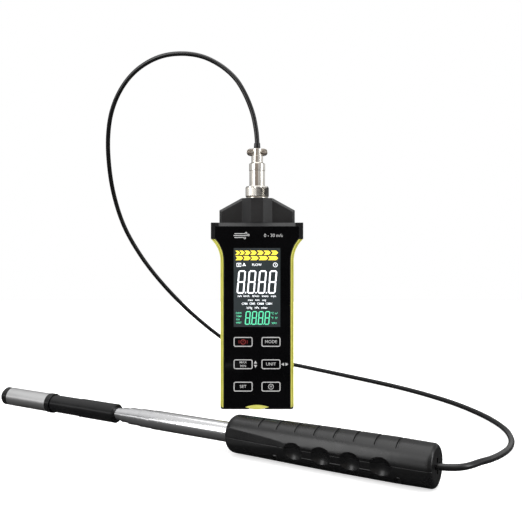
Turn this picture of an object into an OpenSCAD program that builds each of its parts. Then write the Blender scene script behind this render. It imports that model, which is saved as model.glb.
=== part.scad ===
// Split hot-wire anemometer: a handset with a screen and six keys, a round
// screw-locked plug, a signal cord, and a telescopic probe with a guarded
// hot-wire tip.  Millimetres.  The handset stands on the XY plane with its
// screen facing -Y, and the probe lies on the same plane in front of it.

/* [Handset] */
// Width of the handset body across its side trims
body_w = 57.5; // [52:0.1:70]
// Thickness of the handset, front to back
body_d = 32; // [30:0.5:40]
// Height of the handset to the top of its shoulder band
body_h = 146.3; // [138:0.1:180]
// Width of the wider shoulder band at the top
shoulder_w = 72.3; // [68:0.1:88]
// Height of the straight shoulder band
shoulder_h = 13; // [12:0.5:18]
// Height of the curve that joins the body to the shoulder
flare_h = 17; // [13:0.2:20]
// Thickness of the moulded walls
wall = 2; // [1.6:0.1:2.6]
// Width of each side trim
trim_w = 2.5; // [2:0.1:3.2]
// Thickness of the glossy front panel
panel_t = 1.2; // [0.8:0.1:1.6]

/* [Screen and keys] */
// Width of the screen window
screen_w = 36.6; // [30:0.2:40]
// Height of the screen window
screen_h = 61.8; // [50:0.2:64]
// Width of a key
key_w = 14.9; // [12:0.1:18]
// Height of a key
key_h = 7.7; // [6:0.1:9.4]
// Distance between the two columns of keys
key_pitch_x = 21.8; // [20.4:0.1:24]
// Distance between the rows of keys
key_pitch_z = 17.5; // [14:0.1:19]
// How far a key can be pressed
key_travel = 0.6; // [0.3:0.1:0.9]

/* [Plug and socket] */
// Outside diameter of the knurled coupling ring
ring_d = 18.8; // [18:0.1:23]
// Height of the coupling ring
ring_h = 8.9; // [8:0.1:12]
// Diameter of the plug's barrel
barrel_d = 12.6; // [11.8:0.1:12.8]
// Length of the plug's barrel above the ring
barrel_l = 12.6; // [10:0.2:16]
// Diameter of the socket's panel thread
socket_d = 16; // [15.6:0.1:17]

/* [Cord] */
// Diameter of the signal cord
cord_d = 3.8; // [3:0.1:4.4]

/* [Probe handle] */
// Length of the handle
handle_l = 130; // [120:1:170]
// Diameter of the handle round the fingers
handle_d = 24.8; // [24:0.1:29]
// How much narrower the handle is at its nose
nose_taper = 1.4; // [0:0.1:1.6]
// Wall thickness of the two handle shells
handle_wall = 2.2; // [1.8:0.1:2.6]
// Number of finger scoops
scoop_count = 4; // [2:1:5]
// Distance between finger scoops
scoop_pitch = 17.7; // [15:0.1:20]
// Number of thumb grooves
groove_count = 8; // [3:1:8]
// Distance between thumb grooves
groove_pitch = 12.3; // [9:0.1:13]

/* [Telescope] */
// Outside diameter of the fixed outer tube
tube_d = 12.5; // [12.3:0.1:13.4]
// Wall of each telescopic tube
tube_wall = 0.4; // [0.3:0.05:0.5]
// How much smaller in diameter each next tube is
tube_step = 1.35; // [1.25:0.05:1.6]
// How far each tube slides out
tube_stroke = 155; // [120:5:155]
// Length of the outer tube that shows in front of the handle
tube_show = 61.4; // [60:0.1:100]

/* [Sensor head] */
// Diameter of the black rear collar
collar_d = 12.8; // [12:0.1:16]
// Length of the black rear collar
collar_l = 33.7; // [28:0.1:34]
// Outside diameter of the sliding guard sleeve
sleeve_d = 13.2; // [12.6:0.1:16]
// Length of the guard sleeve
sleeve_l = 40.6; // [38:0.2:58]
// How far the guard sleeve slides back
sleeve_travel = 26; // [24:0.5:26]
// Length of the tip cap
tip_l = 7.2; // [6:0.2:12]

/* [Hidden] */
$fn = 64;

// ---- clearances ------------------------------------------------------------
slip = 0.1;          // between fixed pieces that seat in each other
run = 0.05;          // radial, between a tube and the bore it slides in
key_gap = 0.15;      // round each key
eps = 0.01;          // overshoot of a cut
far = 200;           // larger than the handset, for half-space cuts

// ---- handset planes ----------------------------------------------------------
front_y = -body_d / 2;
back_y = body_d / 2;
split_y = front_y + 13;                    // where the two shells meet
panel_y = front_y + panel_t;               // back of the front panel
web_t = 1.8;                               // front shell's face under the panel
web_y = panel_y + web_t;
trim_back_y = back_y - 11;                 // back edge of the side trims
rim = 0.8;                                 // black rim between trim and panel
panel_inset = trim_w + rim;
panel_foot = 1.8;                          // panel starts this far above the base
cavity_inset = trim_w + wall;
shoulder_z = body_h - shoulder_h;
flare_z = shoulder_z - flare_h;
flare_out = (shoulder_w - body_w) / 2;
flare_r = (flare_out * flare_out + flare_h * flare_h) / (2 * flare_out);
base_edge = 1.6;                           // trims stop this far above the base
base_r = 2.4;                              // rounding of the base's corners
tab_w = 19;
tab_h = 3.4;
tab_depth = 5;
tab_lift = 0.3;                            // tab's lowest point above the base
tab_r = (tab_w * tab_w / 4 + tab_h * tab_h / 4) / tab_h;   // round of the tab's lens shape

// ---- screen, keys and board --------------------------------------------------
screen_top = body_h - 19.9;
screen_z = screen_top - screen_h / 2;
module_rim = 2;
module_t = 3.4;
key_top_z = screen_top - screen_h - 11.6;  // middle of the top row of keys
key_r = 1.3;
key_flange = 0.7;                          // lip that keeps a key behind the panel
key_flange_t = 0.8;
board_t = 1.6;
board_y = -7;                              // front face of the main board
board_w = body_w - 2 * cavity_inset - 2.4;
board_z0 = 8;
board_h = shoulder_z - board_z0 - 2;
dome_d = 6;
dome_t = 0.9;
key_spots = [for (row = [0 : 2], side = [-1, 1])
    [side * key_pitch_x / 2, key_top_z - row * key_pitch_z]];

// ---- battery bay ---------------------------------------------------------------
cell_d = 10.5;
cell_l = 44.5;
cell_count = 3;
cell_pitch = 11;
contact_t = 0.5;
contact_gap = 2.4;                         // room for a contact spring
bay_z0 = 16;
bay_w = cell_count * cell_pitch + 1;
bay_h = cell_l + 2 * contact_gap;
door_t = 2;
door_lip = 2.2;                            // how far the door laps the bay's edge
cell_y = back_y - door_t - 0.5 - cell_d / 2;
bay_y = cell_y - cell_d / 2 - 0.4;         // bay's floor
door_pull = 0.3;                           // room round the door
screw_spot_x = body_w / 2 - cavity_inset - 2.2;
screw_spots_z = [bay_z0 - 7, shoulder_z + 4];

// ---- connector stack -----------------------------------------------------------
block_h = 19.7;
block_top = body_h + block_h;
block_edge_h = 10;                         // height of the wings at their outer ends
block_w = shoulder_w - 12;
block_t = 10;                              // thickness of the wings
boss_af = 24;                              // octagonal boss, across flats
block_flat = boss_af / 2 + 0.6;            // half width of the block's level top
tongue_h = 3;
tongue_w = 40;
tongue_t = 14;
socket_wall = 1;
socket_plate = 4;                          // boss material that the socket clamps
nut_t = 3;
nut_af = socket_d + 2.4;
socket_flange_t = 0.6;
spigot_h = 6.4;                            // socket's mating spigot above its flange
spigot_d = barrel_d + 2.2;
ring_z = block_top + socket_flange_t + slip;
ring_top = ring_z + ring_h;
ring_lip = 1.2;
collar_z = ring_top - ring_lip - 1.4;      // plug's shoulder, under the ring's lip
barrel_top = ring_top + barrel_l;
backshell_d = barrel_d + 0.4;
backshell_l = 6.5;
neck_d = 9.4;
neck_l = 5.6;
clamp_z = barrel_top + backshell_l + neck_l;
clamp_h = 5.6;
clamp_w = 14.8;
clamp_depth = 4.2;
clamp_top = clamp_z + clamp_h;
clamp_screw_x = 5;
boot_l = 4.6;
insert_d = barrel_d - 1.8;
insert_l = 12;
insert_z = block_top + 2.4;
pin_d = 1.4;
pin_circle = 6;
pin_count = 4;

// ---- probe ---------------------------------------------------------------------
probe_x = 97.5;                            // middle of the handle's rear face
probe_y = -189.5;
probe_heading = 150;                       // degrees, from +X towards +Y
handle_r = handle_d / 2;
bore_r = handle_r - nose_taper / 2 - handle_wall;
rear_round = 2.5;
rear_taper = 0.8;                          // how much narrower the rear end is
nose_round = 5;
bush_seat_l = 13;                          // length of the nose bush's seat
bush_t = 1.6;                              // wall of the nose bush
end_t = 2.5;                               // thickness of the rear face
screw_head_z = 5.2;                        // screw heads sit this far below the seam
board_t0 = 38;
board_l = 46;
board_half = 3.9;
board_drop = 8.7;                          // underside of the board below the axis
seam_gap = 0.04;
tube_r1 = tube_d / 2;
tube_r2 = tube_r1 - tube_step / 2;
tube_r3 = tube_r2 - tube_step / 2;
tube_r4 = tube_r3 - tube_step / 2;
tube_nest = 4;                             // each next tube starts this much further in
nose_l = 8;
nose_cone = 2.6;
tube_1_end = handle_l + tube_show + nose_l + nose_cone;
tube_hold = 25;                            // tube left inside the next one at full stroke
tube_back = tube_1_end - tube_stroke - tube_hold;   // rear end of the outer tube
tube_2_end = tube_1_end + 9.5;             // each next tube shows a little when pushed in
tube_3_end = tube_2_end + 6.5;
guide_l = 8;
head_back = tube_3_end + 6;                // rear face of the sensor head
head_socket = 10;                          // tube 4 goes this far into the head
collar_front = head_back + collar_l;
grip_ring_l = 4.4;
guard_room = 0.7;                          // left between ring and collar when pushed back
barrel_show = sleeve_travel + grip_ring_l + guard_room;         // head between the collar and the guard
sleeve_back = head_back + collar_l + barrel_show;
sleeve_front = sleeve_back + sleeve_l;
sleeve_t = 0.45;
slide_r = sleeve_d / 2 - sleeve_t - run;   // what the guard sleeve slides on
tip_r = sleeve_d / 2 - 0.1;
tip_round = 2.2;
frame_wall = 0.9;
frame_back = sleeve_back - 2;
window_l = 16;
window_front = sleeve_front - 7;
window_w = 8;
prong_r = 0.3;
prong_y = [-2.4, -0.8, 0.8, 2.4];
prong_l = 7;
screw_t = [18.5, 94];                      // handle screws, along the handle
screw_y = 8.9;
scoop_r = 8.4;
scoop_depth = 3;
scoop_t0 = 28.2;
scoop_tilt = -8;                           // degrees below level, on the near side
band_w = 5.6;
scoop_back = 1.8;                          // wall behind a scoop
swoop_t0 = 78;                             // the finger rest's flat starts here, as a point
swoop_slope = 2;                           // and deepens towards the nose by this angle
swoop_tilt = 6;                            // degrees above level, on the near side
groove_t0 = 20;
groove_w = 1.2;
groove_depth = 0.9;
groove_from = 46;                          // degrees up from the near side
groove_to = 174;
cross_l = 9;                               // cross-shaped opening in the rear face
cross_w = 2.2;

// ---- the cord's route, chosen by hand: plug to handle ---------------------------
cord_route = [
    [0, 0, 197], [0, 0, 204], [0, 0, 211], [-1, 1, 222], [-4, 2, 236], [-10, 3, 251],
    [-18, 5, 264], [-30, 8, 275], [-45, 11, 283], [-62, 15, 286.5], [-80, 20, 285.5],
    [-97, 26, 279], [-111, 32, 268], [-122, 38, 252], [-129, 46, 233], [-132, 56, 208],
    [-131, 71, 177], [-124, 85, 146], [-111, 99, 118], [-94, 114, 92], [-73, 132, 66],
    [-52, 150, 44], [-32, 166, 26], [-14, 178, 12], [0, 183, 5], [14, 181, 2.2],
    [27, 174, 1.9], [39, 165, 1.9], [55, 146, 1.9], [72, 125, 1.9], [88, 105, 1.9],
    [104, 85, 1.9], [120, 64, 1.9], [134, 43, 1.9], [147, 20, 1.9], [158, -4, 1.9],
    [166, -29, 1.9], [171, -54, 1.9], [172, -80, 1.9], [167, -105, 2.4], [157, -130, 4.6],
    [144.5, -152, 7.4], [133, -168.5, 9.8], [123.5, -179.5, 11.6], [115.6, -187.4, 12.3],
    [109.8, -190.6, 12.4], [103.5, -191.2, 12.4], [97.5, -189.5, 12.4], [92, -186.5, 12.4]];
cord_sides = 8;
cord_rings = 80;

// =================================================================================
// Helpers
// =================================================================================

// Extrudes a drawing in X and Z from y0 to y1.
module slab(y0, y1) {
    translate([0, y1, 0]) rotate([90, 0, 0]) linear_extrude(y1 - y0) children();
}

// A rectangle with round corners, centred.
module round_rect(w, h, r) {
    square([w - 2 * r, h], center = true);
    square([w, h - 2 * r], center = true);
    for (x = [-1, 1], y = [-1, 1])
        translate([x * (w / 2 - r), y * (h / 2 - r)]) circle(r);
}

// The right half of the handset's front outline, from its base up, drawn inwards by inset.
function right_side(inset) =
    let (half = body_w / 2 - inset, corner_r = max(base_r - inset, 0.4), flare = flare_r + inset,
        flare_end = acos((flare_r - flare_out + inset) / flare), steps = 12)
    concat([for (a = [-90 : 15 : 0])
            [half - corner_r + corner_r * cos(a), inset + corner_r + corner_r * sin(a)]],
        [for (i = [0 : steps]) let (a = i * flare_end / steps)
            [body_w / 2 + flare_r - flare * cos(a), flare_z + flare * sin(a)]],
        [[shoulder_w / 2 - inset, body_h - inset]]);

module outline(inset = 0) {
    right = right_side(inset);
    left = [for (i = [len(right) - 1 : -1 : 0]) [-right[i][0], right[i][1]]];
    polygon(concat(right, left));
}

// The front panel's outline, which runs lower than the trims' inset at its foot.
module panel_outline(gap = 0) {
    outline(panel_inset - gap);
    translate([-body_w / 2 + panel_inset - gap, panel_foot - gap])
        square([body_w - 2 * (panel_inset - gap), panel_inset + base_r]);
}

// The strips of the outline that the side trims fill.
module trim_bands(gap = 0) {
    core_w = body_w - 2 * (trim_w + gap);
    difference() {
        translate([-far / 2, base_edge - gap]) square([far, shoulder_z - base_edge + 2 * gap]);
        outline(trim_w + gap);
        translate([-core_w / 2, 0]) square([core_w, trim_w + base_r]);
    }
}

// A tube, cone or bar along the probe, in the probe's own frame.
module tube(t0, t1, r_out, r_in = 0, r_end = -1) {
    translate([t0, 0, 0]) rotate([0, 90, 0]) difference() {
        cylinder(h = t1 - t0, r1 = r_out, r2 = r_end < 0 ? r_out : r_end);
        if (r_in > 0) translate([0, 0, -eps]) cylinder(h = t1 - t0 + 2 * eps, r = r_in);
    }
}

// Moves a piece from the probe's own frame to where the probe lies.
module on_probe() {
    translate([probe_x, probe_y, handle_r]) rotate([0, 0, probe_heading]) children();
}

// =================================================================================
// Handset shells, trims and panel
// =================================================================================

module front_shell() {
    color("#141414") difference() {
        union() {
            difference() {
                slab(front_y, split_y) difference() { outline(); trim_bands(slip); }
                slab(front_y - eps, panel_y) panel_outline(slip);
                slab(web_y, split_y + eps) outline(cavity_inset);
            }
            for (x = [-1, 1], z = screw_spots_z)
                translate([x * screw_spot_x, split_y, z]) rotate([90, 0, 0])
                    cylinder(h = split_y - web_y + eps, r = 3);
        }
        for (x = [-1, 1], z = screw_spots_z)
            translate([x * screw_spot_x, split_y + eps, z]) rotate([90, 0, 0])
                cylinder(h = 7, r = 1.1);
        slab(front_y, web_y + eps) translate([0, screen_z])
            square([screen_w + 2 * module_rim + 2 * slip, screen_h + 2 * module_rim + 2 * slip],
                center = true);
        for (spot = key_spots)
            slab(front_y, web_y + eps) translate(spot)
                round_rect(key_w + 2 * (key_flange + slip), key_h + 2 * (key_flange + slip), key_r);
        translate([-tongue_w / 2 - slip, -tongue_t / 2 - slip, body_h - tongue_h - slip])
            cube([tongue_w + 2 * slip, tongue_t + 2 * slip, tongue_h + 1]);
        // top edge of the shoulder slopes back between its two rounded ends
        translate([0, front_y, body_h - panel_inset + 0.4]) rotate([-50, 0, 0])
            translate([-(shoulder_w / 2 - 6), -8, 0]) cube([shoulder_w - 12, 8, 12]);
        // foot of the front face slopes back under the panel
        translate([0, front_y, panel_foot - slip]) rotate([-50, 0, 0])
            translate([-shoulder_w / 2, -2, -8]) cube([shoulder_w, 14, 8]);
        tab_notch(slip);
    }
}

module rear_shell() {
    color("#1b1b1b") difference() {
        union() {
            difference() {
                union() {
                    slab(split_y, trim_back_y) difference() { outline(); trim_bands(slip); }
                    slab(trim_back_y, back_y - 2.4) outline();
                    slab(back_y - 2.4, back_y - 1) outline(0.7);
                    slab(back_y - 1, back_y) outline(2);
                }
                slab(split_y - eps, back_y - wall) outline(cavity_inset);
            }
            bay_walls();
            for (x = [-1, 1], z = screw_spots_z)
                translate([x * screw_spot_x, back_y - 1, z]) rotate([90, 0, 0])
                    cylinder(h = back_y - 1 - split_y, r = 3);
        }
        // battery bay and the recess that its door drops into
        translate([-bay_w / 2, bay_y, bay_z0]) cube([bay_w, far, bay_h]);
        slab(back_y - door_t, back_y + 1) translate([0, bay_z0 + bay_h / 2])
            round_rect(bay_w + 2 * (door_lip + door_pull), bay_h + 2 * (door_lip + door_pull), 2);
        for (x = [-1, 1], z = screw_spots_z) translate([x * screw_spot_x, 0, z]) rotate([-90, 0, 0]) {
            translate([0, 0, split_y - eps]) cylinder(h = body_d, r = 1.4);
            translate([0, 0, back_y - 3.2]) cylinder(h = 8, r = 2.6);
        }
        translate([-tongue_w / 2 - slip, -tongue_t / 2 - slip, body_h - tongue_h - slip])
            cube([tongue_w + 2 * slip, tongue_t + 2 * slip, tongue_h + 1]);
    }
}

// Walls and floor of the battery bay, inside the rear shell, and the ledge for its door.
module bay_walls() {
    t = 1.2;
    ledge = door_lip + door_pull + t;
    translate([-bay_w / 2 - t, bay_y - t, bay_z0 - t])
        cube([bay_w + 2 * t, back_y - wall - bay_y + t + eps, bay_h + 2 * t]);
    translate([-bay_w / 2 - ledge, back_y - door_t - t, bay_z0 - ledge])
        cube([bay_w + 2 * ledge, t + 0.1, bay_h + 2 * ledge]);
}

module side_trim(side) {
    color("#c9cc3a") difference() {
        slab(front_y + 0.3, trim_back_y - slip) intersection() {
            outline();
            trim_bands();
            translate([side > 0 ? 0 : -far / 2, 0]) square([far / 2, body_h]);
        }
        // the outer strip stands back from the inner one, with a fine groove between
        slab(front_y, front_y + 2.2) difference() {
            translate([-far / 2, 0]) square([far, body_h]);
            outline(1.15);
        }
        slab(front_y, front_y + 3.2) difference() { outline(1.15); outline(1.45); }
    }
}

module left_trim() { side_trim(-1); }

module right_trim() { side_trim(1); }

// A lens on its side, as wide as the tab, resting on the base.
module tab_face(gap = 0) {
    intersection() {
        translate([0, tab_h / 2 + tab_r - tab_h / 2 - gap]) circle(tab_r, $fn = 96);
        translate([0, tab_h / 2 - tab_r + tab_h / 2 + gap]) circle(tab_r, $fn = 96);
    }
}

module tab_notch(gap = 0) {
    slab(front_y - 1, front_y + tab_depth + gap) translate([0, tab_lift]) tab_face(gap);
    translate([-tab_w / 3, front_y - 1, -1]) cube([tab_w * 2 / 3, tab_depth + gap + 1, 1 + tab_h / 2]);
}

module bottom_tab() {
    color("#b9bd30") slab(front_y + 0.1, front_y + tab_depth) translate([0, tab_lift]) tab_face();
}

module front_panel() {
    color("#050505") difference() {
        slab(front_y, panel_y) panel_outline();
        slab(front_y - 1, panel_y + 1) translate([0, screen_z]) square([screen_w, screen_h], center = true);
        for (spot = key_spots)
            slab(front_y - 1, panel_y + 1) translate(spot) round_rect(key_w + 2 * key_gap, key_h + 2 * key_gap, key_r);
        tab_notch(slip);
    }
}

module display_window() {
    color("#30383c") slab(front_y + 0.1, panel_y - slip) translate([0, screen_z])
        square([screen_w - slip, screen_h - slip], center = true);
}

module display_module() {
    color("#20262a") slab(panel_y + slip, panel_y + slip + module_t) translate([0, screen_z])
        square([screen_w + 2 * module_rim, screen_h + 2 * module_rim], center = true);
}

module main_board() {
    color("#1f5a34") difference() {
        translate([-board_w / 2, board_y, board_z0]) cube([board_w, board_t, board_h]);
        for (x = [-1, 1], z = screw_spots_z)
            translate([x * screw_spot_x, board_y - 1, z]) rotate([-90, 0, 0]) cylinder(h = 4, r = 3.3);
    }
}

module dome_switches() {
    color("silver") for (spot = key_spots)
        translate([spot[0], board_y - dome_t, spot[1]]) rotate([-90, 0, 0])
            cylinder(h = dome_t, r1 = dome_d / 2 - 1, r2 = dome_d / 2);
}

// One key: the cap in the panel's opening, a lip behind the panel and a stem.
module key_cap(spot) {
    color("#0a0a0a") {
        slab(front_y, panel_y + slip) translate(spot) round_rect(key_w, key_h, key_r);
        slab(panel_y + slip - eps, panel_y + slip + key_flange_t) translate(spot)
            round_rect(key_w + 2 * key_flange, key_h + 2 * key_flange, key_r);
        slab(panel_y + key_flange_t, board_y - dome_t - key_travel - slip) translate(spot) circle(1.6);
    }
}

module key_power() { key_cap(key_spots[0]); }

module key_mode() { key_cap(key_spots[1]); }

module key_range() { key_cap(key_spots[2]); }

module key_unit() { key_cap(key_spots[3]); }

module key_set() { key_cap(key_spots[4]); }

module key_hold() { key_cap(key_spots[5]); }

module housing_screws() {
    color("#8d8f92") for (x = [-1, 1], z = screw_spots_z)
        translate([x * screw_spot_x, 0, z]) rotate([-90, 0, 0]) {
            translate([0, 0, split_y - 5]) cylinder(h = back_y - 3.2 - split_y + 5, r = 1.05);
            translate([0, 0, back_y - 3.2]) difference() {
                cylinder(h = 1.7, r = 2.4);
                for (a = [0, 90]) rotate(a) translate([-1.5, -0.3, 0.9]) cube([3, 0.6, 1]);
            }
        }
}

// =================================================================================
// Battery
// =================================================================================

module battery_cells() {
    color("#b87333") for (i = [0 : cell_count - 1]) {
        flip = i % 2;
        translate([(i - (cell_count - 1) / 2) * cell_pitch, cell_y, bay_z0 + contact_gap]) {
            translate([0, 0, flip ? 0 : 0.8]) cylinder(h = cell_l - 1.6 + (flip ? 0.8 : 0), r = cell_d / 2);
            translate([0, 0, flip ? cell_l - 1.6 : 0]) cylinder(h = 1.6, r = 1.9);
        }
    }
}

module battery_contacts() {
    color("silver") for (i = [0 : cell_count - 1], end = [0, 1])
        translate([(i - (cell_count - 1) / 2) * cell_pitch, cell_y,
                end ? bay_z0 + bay_h - contact_t : bay_z0]) {
            translate([-4, -4, 0]) cube([8, 8, contact_t]);
            translate([0, 0, end ? -(contact_gap - contact_t - 0.1) : contact_t - eps])
                cylinder(h = contact_gap - contact_t - 0.1 + eps, r1 = end ? 1.6 : 3, r2 = end ? 3 : 1.6);
        }
}

module battery_door() {
    color("#1b1b1b") difference() {
        slab(back_y - door_t + slip, back_y) translate([0, bay_z0 + bay_h / 2])
            round_rect(bay_w + 2 * door_lip, bay_h + 2 * door_lip, 2);
        // three finger ridges near the top edge
        for (i = [0 : 2]) translate([-8, back_y - 0.6, bay_z0 + bay_h - 4 - 2.4 * i]) cube([16, 2, 1.2]);
    }
}

// =================================================================================
// Connector block, socket and plug
// =================================================================================

module block_face(inset = 0) {
    polygon([[-block_w / 2 + inset, 0], [block_w / 2 - inset, 0],
        [block_w / 2 - inset, block_edge_h - inset * 0.6], [block_flat - inset * 0.4, block_h - inset],
        [-block_flat + inset * 0.4, block_h - inset], [-block_w / 2 + inset, block_edge_h - inset * 0.6]]);
}

module connector_block() {
    chamfer = 1.8;
    color("#3a3a3a") difference() {
        union() {
            translate([0, 0, body_h]) hull() {
                slab(-block_t / 2 + chamfer, block_t / 2 - chamfer) block_face();
                slab(-block_t / 2, block_t / 2) block_face(chamfer);
            }
            translate([0, 0, body_h]) rotate(22.5) cylinder(h = block_h, r = boss_af / 2 / cos(22.5), $fn = 8);
            translate([-tongue_w / 2, -tongue_t / 2, body_h - tongue_h])
                cube([tongue_w, tongue_t, tongue_h + eps]);
        }
        translate([0, 0, body_h - tongue_h - 1]) cylinder(h = far, r = socket_d / 2 + slip);
        translate([0, 0, body_h - tongue_h - 1])
            cylinder(h = block_h + tongue_h + 1 - socket_plate, r = nut_af / 2 / cos(30) + 0.3);
    }
}

module socket_shell() {
    color("#d7d7d7") difference() {
        union() {
            translate([0, 0, block_top - socket_plate - nut_t - 2])
                cylinder(h = socket_plate + nut_t + 2 + eps, r = socket_d / 2);
            translate([0, 0, block_top]) cylinder(h = socket_flange_t, r = ring_d / 2 - 0.3);
            translate([0, 0, block_top]) cylinder(h = socket_flange_t + spigot_h, r = spigot_d / 2);
        }
        translate([0, 0, block_top - 20]) cylinder(h = 60, r = barrel_d / 2 + slip);
    }
}

module socket_nut() {
    color("#c9c9c9") translate([0, 0, block_top - socket_plate - nut_t]) difference() {
        cylinder(h = nut_t, r = nut_af / 2 / cos(30), $fn = 6);
        translate([0, 0, -1]) cylinder(h = nut_t + 2, r = socket_d / 2 + 0.05);
    }
}

module pin_spots() {
    for (i = [0 : pin_count - 1]) rotate(i * 360 / pin_count + 45) translate([pin_circle / 2, 0, 0]) children();
}

module socket_insulator() {
    color("#1a1a1a") difference() {
        translate([0, 0, block_top - 8]) cylinder(h = 8, r = barrel_d / 2);
        translate([0, 0, block_top - 9]) pin_spots() cylinder(h = 20, r = pin_d / 2 + 0.02);
    }
}

module socket_pins() {
    color("#d9b24c") translate([0, 0, block_top - 12]) pin_spots() cylinder(h = 19, r = pin_d / 2);
}

module plug_shell() {
    color("#dedede") difference() {
        union() {
            translate([0, 0, block_top + 1]) cylinder(h = barrel_top - block_top - 1, r = barrel_d / 2);
            translate([0, 0, collar_z]) cylinder(h = 1.2, r = spigot_d / 2 - 0.1);
        }
        translate([0, 0, block_top]) cylinder(h = 60, r = insert_d / 2 + slip / 2);
    }
}

module plug_insert() {
    color("#1a1a1a") difference() {
        translate([0, 0, insert_z]) cylinder(h = insert_l, r = insert_d / 2);
        translate([0, 0, insert_z - 1]) pin_spots() cylinder(h = insert_l - 2, r = pin_d / 2 + 0.15);
    }
}

module coupling_ring() {
    color("#dedede") difference() {
        translate([0, 0, ring_z]) union() {
            translate([0, 0, 0.6]) cylinder(h = ring_h - 1.2, r = ring_d / 2);
            cylinder(h = ring_h, r = ring_d / 2 - 0.5);
        }
        translate([0, 0, ring_z - 1]) cylinder(h = ring_h - ring_lip + 1, r = spigot_d / 2 + slip);
        translate([0, 0, ring_z]) cylinder(h = far, r = barrel_d / 2 + run);
    }
}

module plug_backshell() {
    color("#dedede") difference() {
        union() {
            translate([0, 0, barrel_top - 4]) cylinder(h = 4 + eps, r = insert_d / 2);
            translate([0, 0, barrel_top]) cylinder(h = backshell_l - 1, r = backshell_d / 2);
            translate([0, 0, barrel_top + backshell_l - 1 - eps])
                cylinder(h = 1 + eps, r1 = backshell_d / 2, r2 = neck_d / 2);
            translate([0, 0, barrel_top]) cylinder(h = backshell_l + neck_l + eps, r = neck_d / 2);
            clamp_jaw(1);
        }
        translate([0, 0, barrel_top - 5]) cylinder(h = 40, r = cord_d / 2 + 0.15);
        for (x = [-1, 1]) translate([x * clamp_screw_x, 0, clamp_z + clamp_h / 2]) rotate([-90, 0, 0]) {
            translate([0, 0, -1]) cylinder(h = 20, r = 0.95);
        }
    }
}

// Half of the cord clamp: a bar with round ends, in front of or behind the cord.
module clamp_jaw(side) {
    intersection() {
        translate([0, 0, clamp_z]) union() {
            cylinder(h = clamp_h, r = clamp_depth);
            translate([-clamp_w / 2 + 1.6, -2.8, 0]) cube([clamp_w - 3.2, 5.6, clamp_h]);
            for (x = [-1, 1]) translate([x * (clamp_w / 2 - 1.6), 0, clamp_h / 2]) rotate([90, 0, 0])
                cylinder(h = 5.6, r = clamp_h / 2 - 0.2, center = true);
        }
        translate([-far / 2, side > 0 ? 0.25 : -far - 0.25, 0]) cube([far, far, far * 2]);
    }
}

module clamp_bar() {
    color("#dedede") difference() {
        clamp_jaw(-1);
        translate([0, 0, clamp_z - 1]) cylinder(h = 1 + slip, r = neck_d);
        translate([0, 0, clamp_z - 1]) cylinder(h = clamp_h + 2, r = cord_d / 2 + 0.15);
        for (x = [-1, 1]) translate([x * clamp_screw_x, -10, clamp_z + clamp_h / 2]) rotate([-90, 0, 0])
            cylinder(h = 20, r = 1.1);
    }
}

module clamp_screws() {
    color("#c4c4c4") for (x = [-1, 1])
        translate([x * clamp_screw_x, 0, clamp_z + clamp_h / 2]) rotate([-90, 0, 0]) {
            translate([0, 0, -3]) cylinder(h = 5.8, r = 0.9);
            translate([0, 0, -4.1]) difference() {
                cylinder(h = 1.3, r = 1.9);
                translate([-2.2, -0.25, -1]) cube([4.4, 0.5, 1.5]);
            }
        }
}

// =================================================================================
// Cord
// =================================================================================

module cord_boot() {
    color("#12151c") difference() {
        translate([0, 0, clamp_top]) cylinder(h = boot_l, r1 = cord_d / 2 + 0.8, r2 = cord_d / 2 + 0.5);
        translate([0, 0, clamp_top - 1]) cylinder(h = boot_l + 2, r = cord_d / 2 + 0.15);
    }
}

// A point on the smooth curve through the route, with u from 0 to its last index.
function route_point(u) =
    let (last = len(cord_route) - 1, i = min(floor(u), last - 1), s = u - i,
        p0 = cord_route[max(i - 1, 0)], p1 = cord_route[i],
        p2 = cord_route[i + 1], p3 = cord_route[min(i + 2, last)])
    0.5 * (2 * p1 + (p2 - p0) * s + (2 * p0 - 5 * p1 + 4 * p2 - p3) * s * s
        + (3 * p1 - p0 - 3 * p2 + p3) * s * s * s);

function unit(v) = v / norm(v);

// Each ring's sideways direction is the one before it, turned square to the curve.
function ring_sides(tangents, i, last_side, found) =
    i == len(tangents) ? found
    : let (side = unit(last_side - (last_side * tangents[i]) * tangents[i]))
        ring_sides(tangents, i + 1, side, concat(found, [side]));

module signal_cord() {
    steps = cord_rings - 1;
    last = len(cord_route) - 1;
    centres = [for (i = [0 : steps]) route_point(i * last / steps)];
    tangents = [for (i = [0 : steps])
        unit(centres[min(i + 1, steps)] - centres[max(i - 1, 0)])];
    sides = ring_sides(tangents, 0, [1, 0, 0], []);
    points = [for (i = [0 : steps], k = [0 : cord_sides - 1])
        let (across = sides[i], up = cross(tangents[i], across), a = k * 360 / cord_sides)
        centres[i] + cord_d / 2 * (cos(a) * across + sin(a) * up)];
    walls = [for (i = [0 : steps - 1], k = [0 : cord_sides - 1])
        let (next = (k + 1) % cord_sides)
        [i * cord_sides + next, i * cord_sides + k, (i + 1) * cord_sides + k, (i + 1) * cord_sides + next]];
    start_cap = [for (k = [0 : cord_sides - 1]) k];
    end_cap = [for (k = [0 : cord_sides - 1]) steps * cord_sides + cord_sides - 1 - k];
    color("#101113") polyhedron(points, concat(walls, [start_cap, end_cap]), convexity = 10);
}

// =================================================================================
// Probe handle
// =================================================================================

// From 0 to 1 as x goes from 0 to 1, level at both ends.
function ease(x) = (1 - cos(180 * min(max(x, 0), 1))) / 2;

// Radius of the handle at a place along it: fullest at the fingers, less at both ends.
function grip_at(t) = handle_r - rear_taper / 2 * (1 - ease(t / (handle_l / 5)))
    - nose_taper / 2 * ease((t / handle_l - 0.4) / 0.6);

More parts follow.
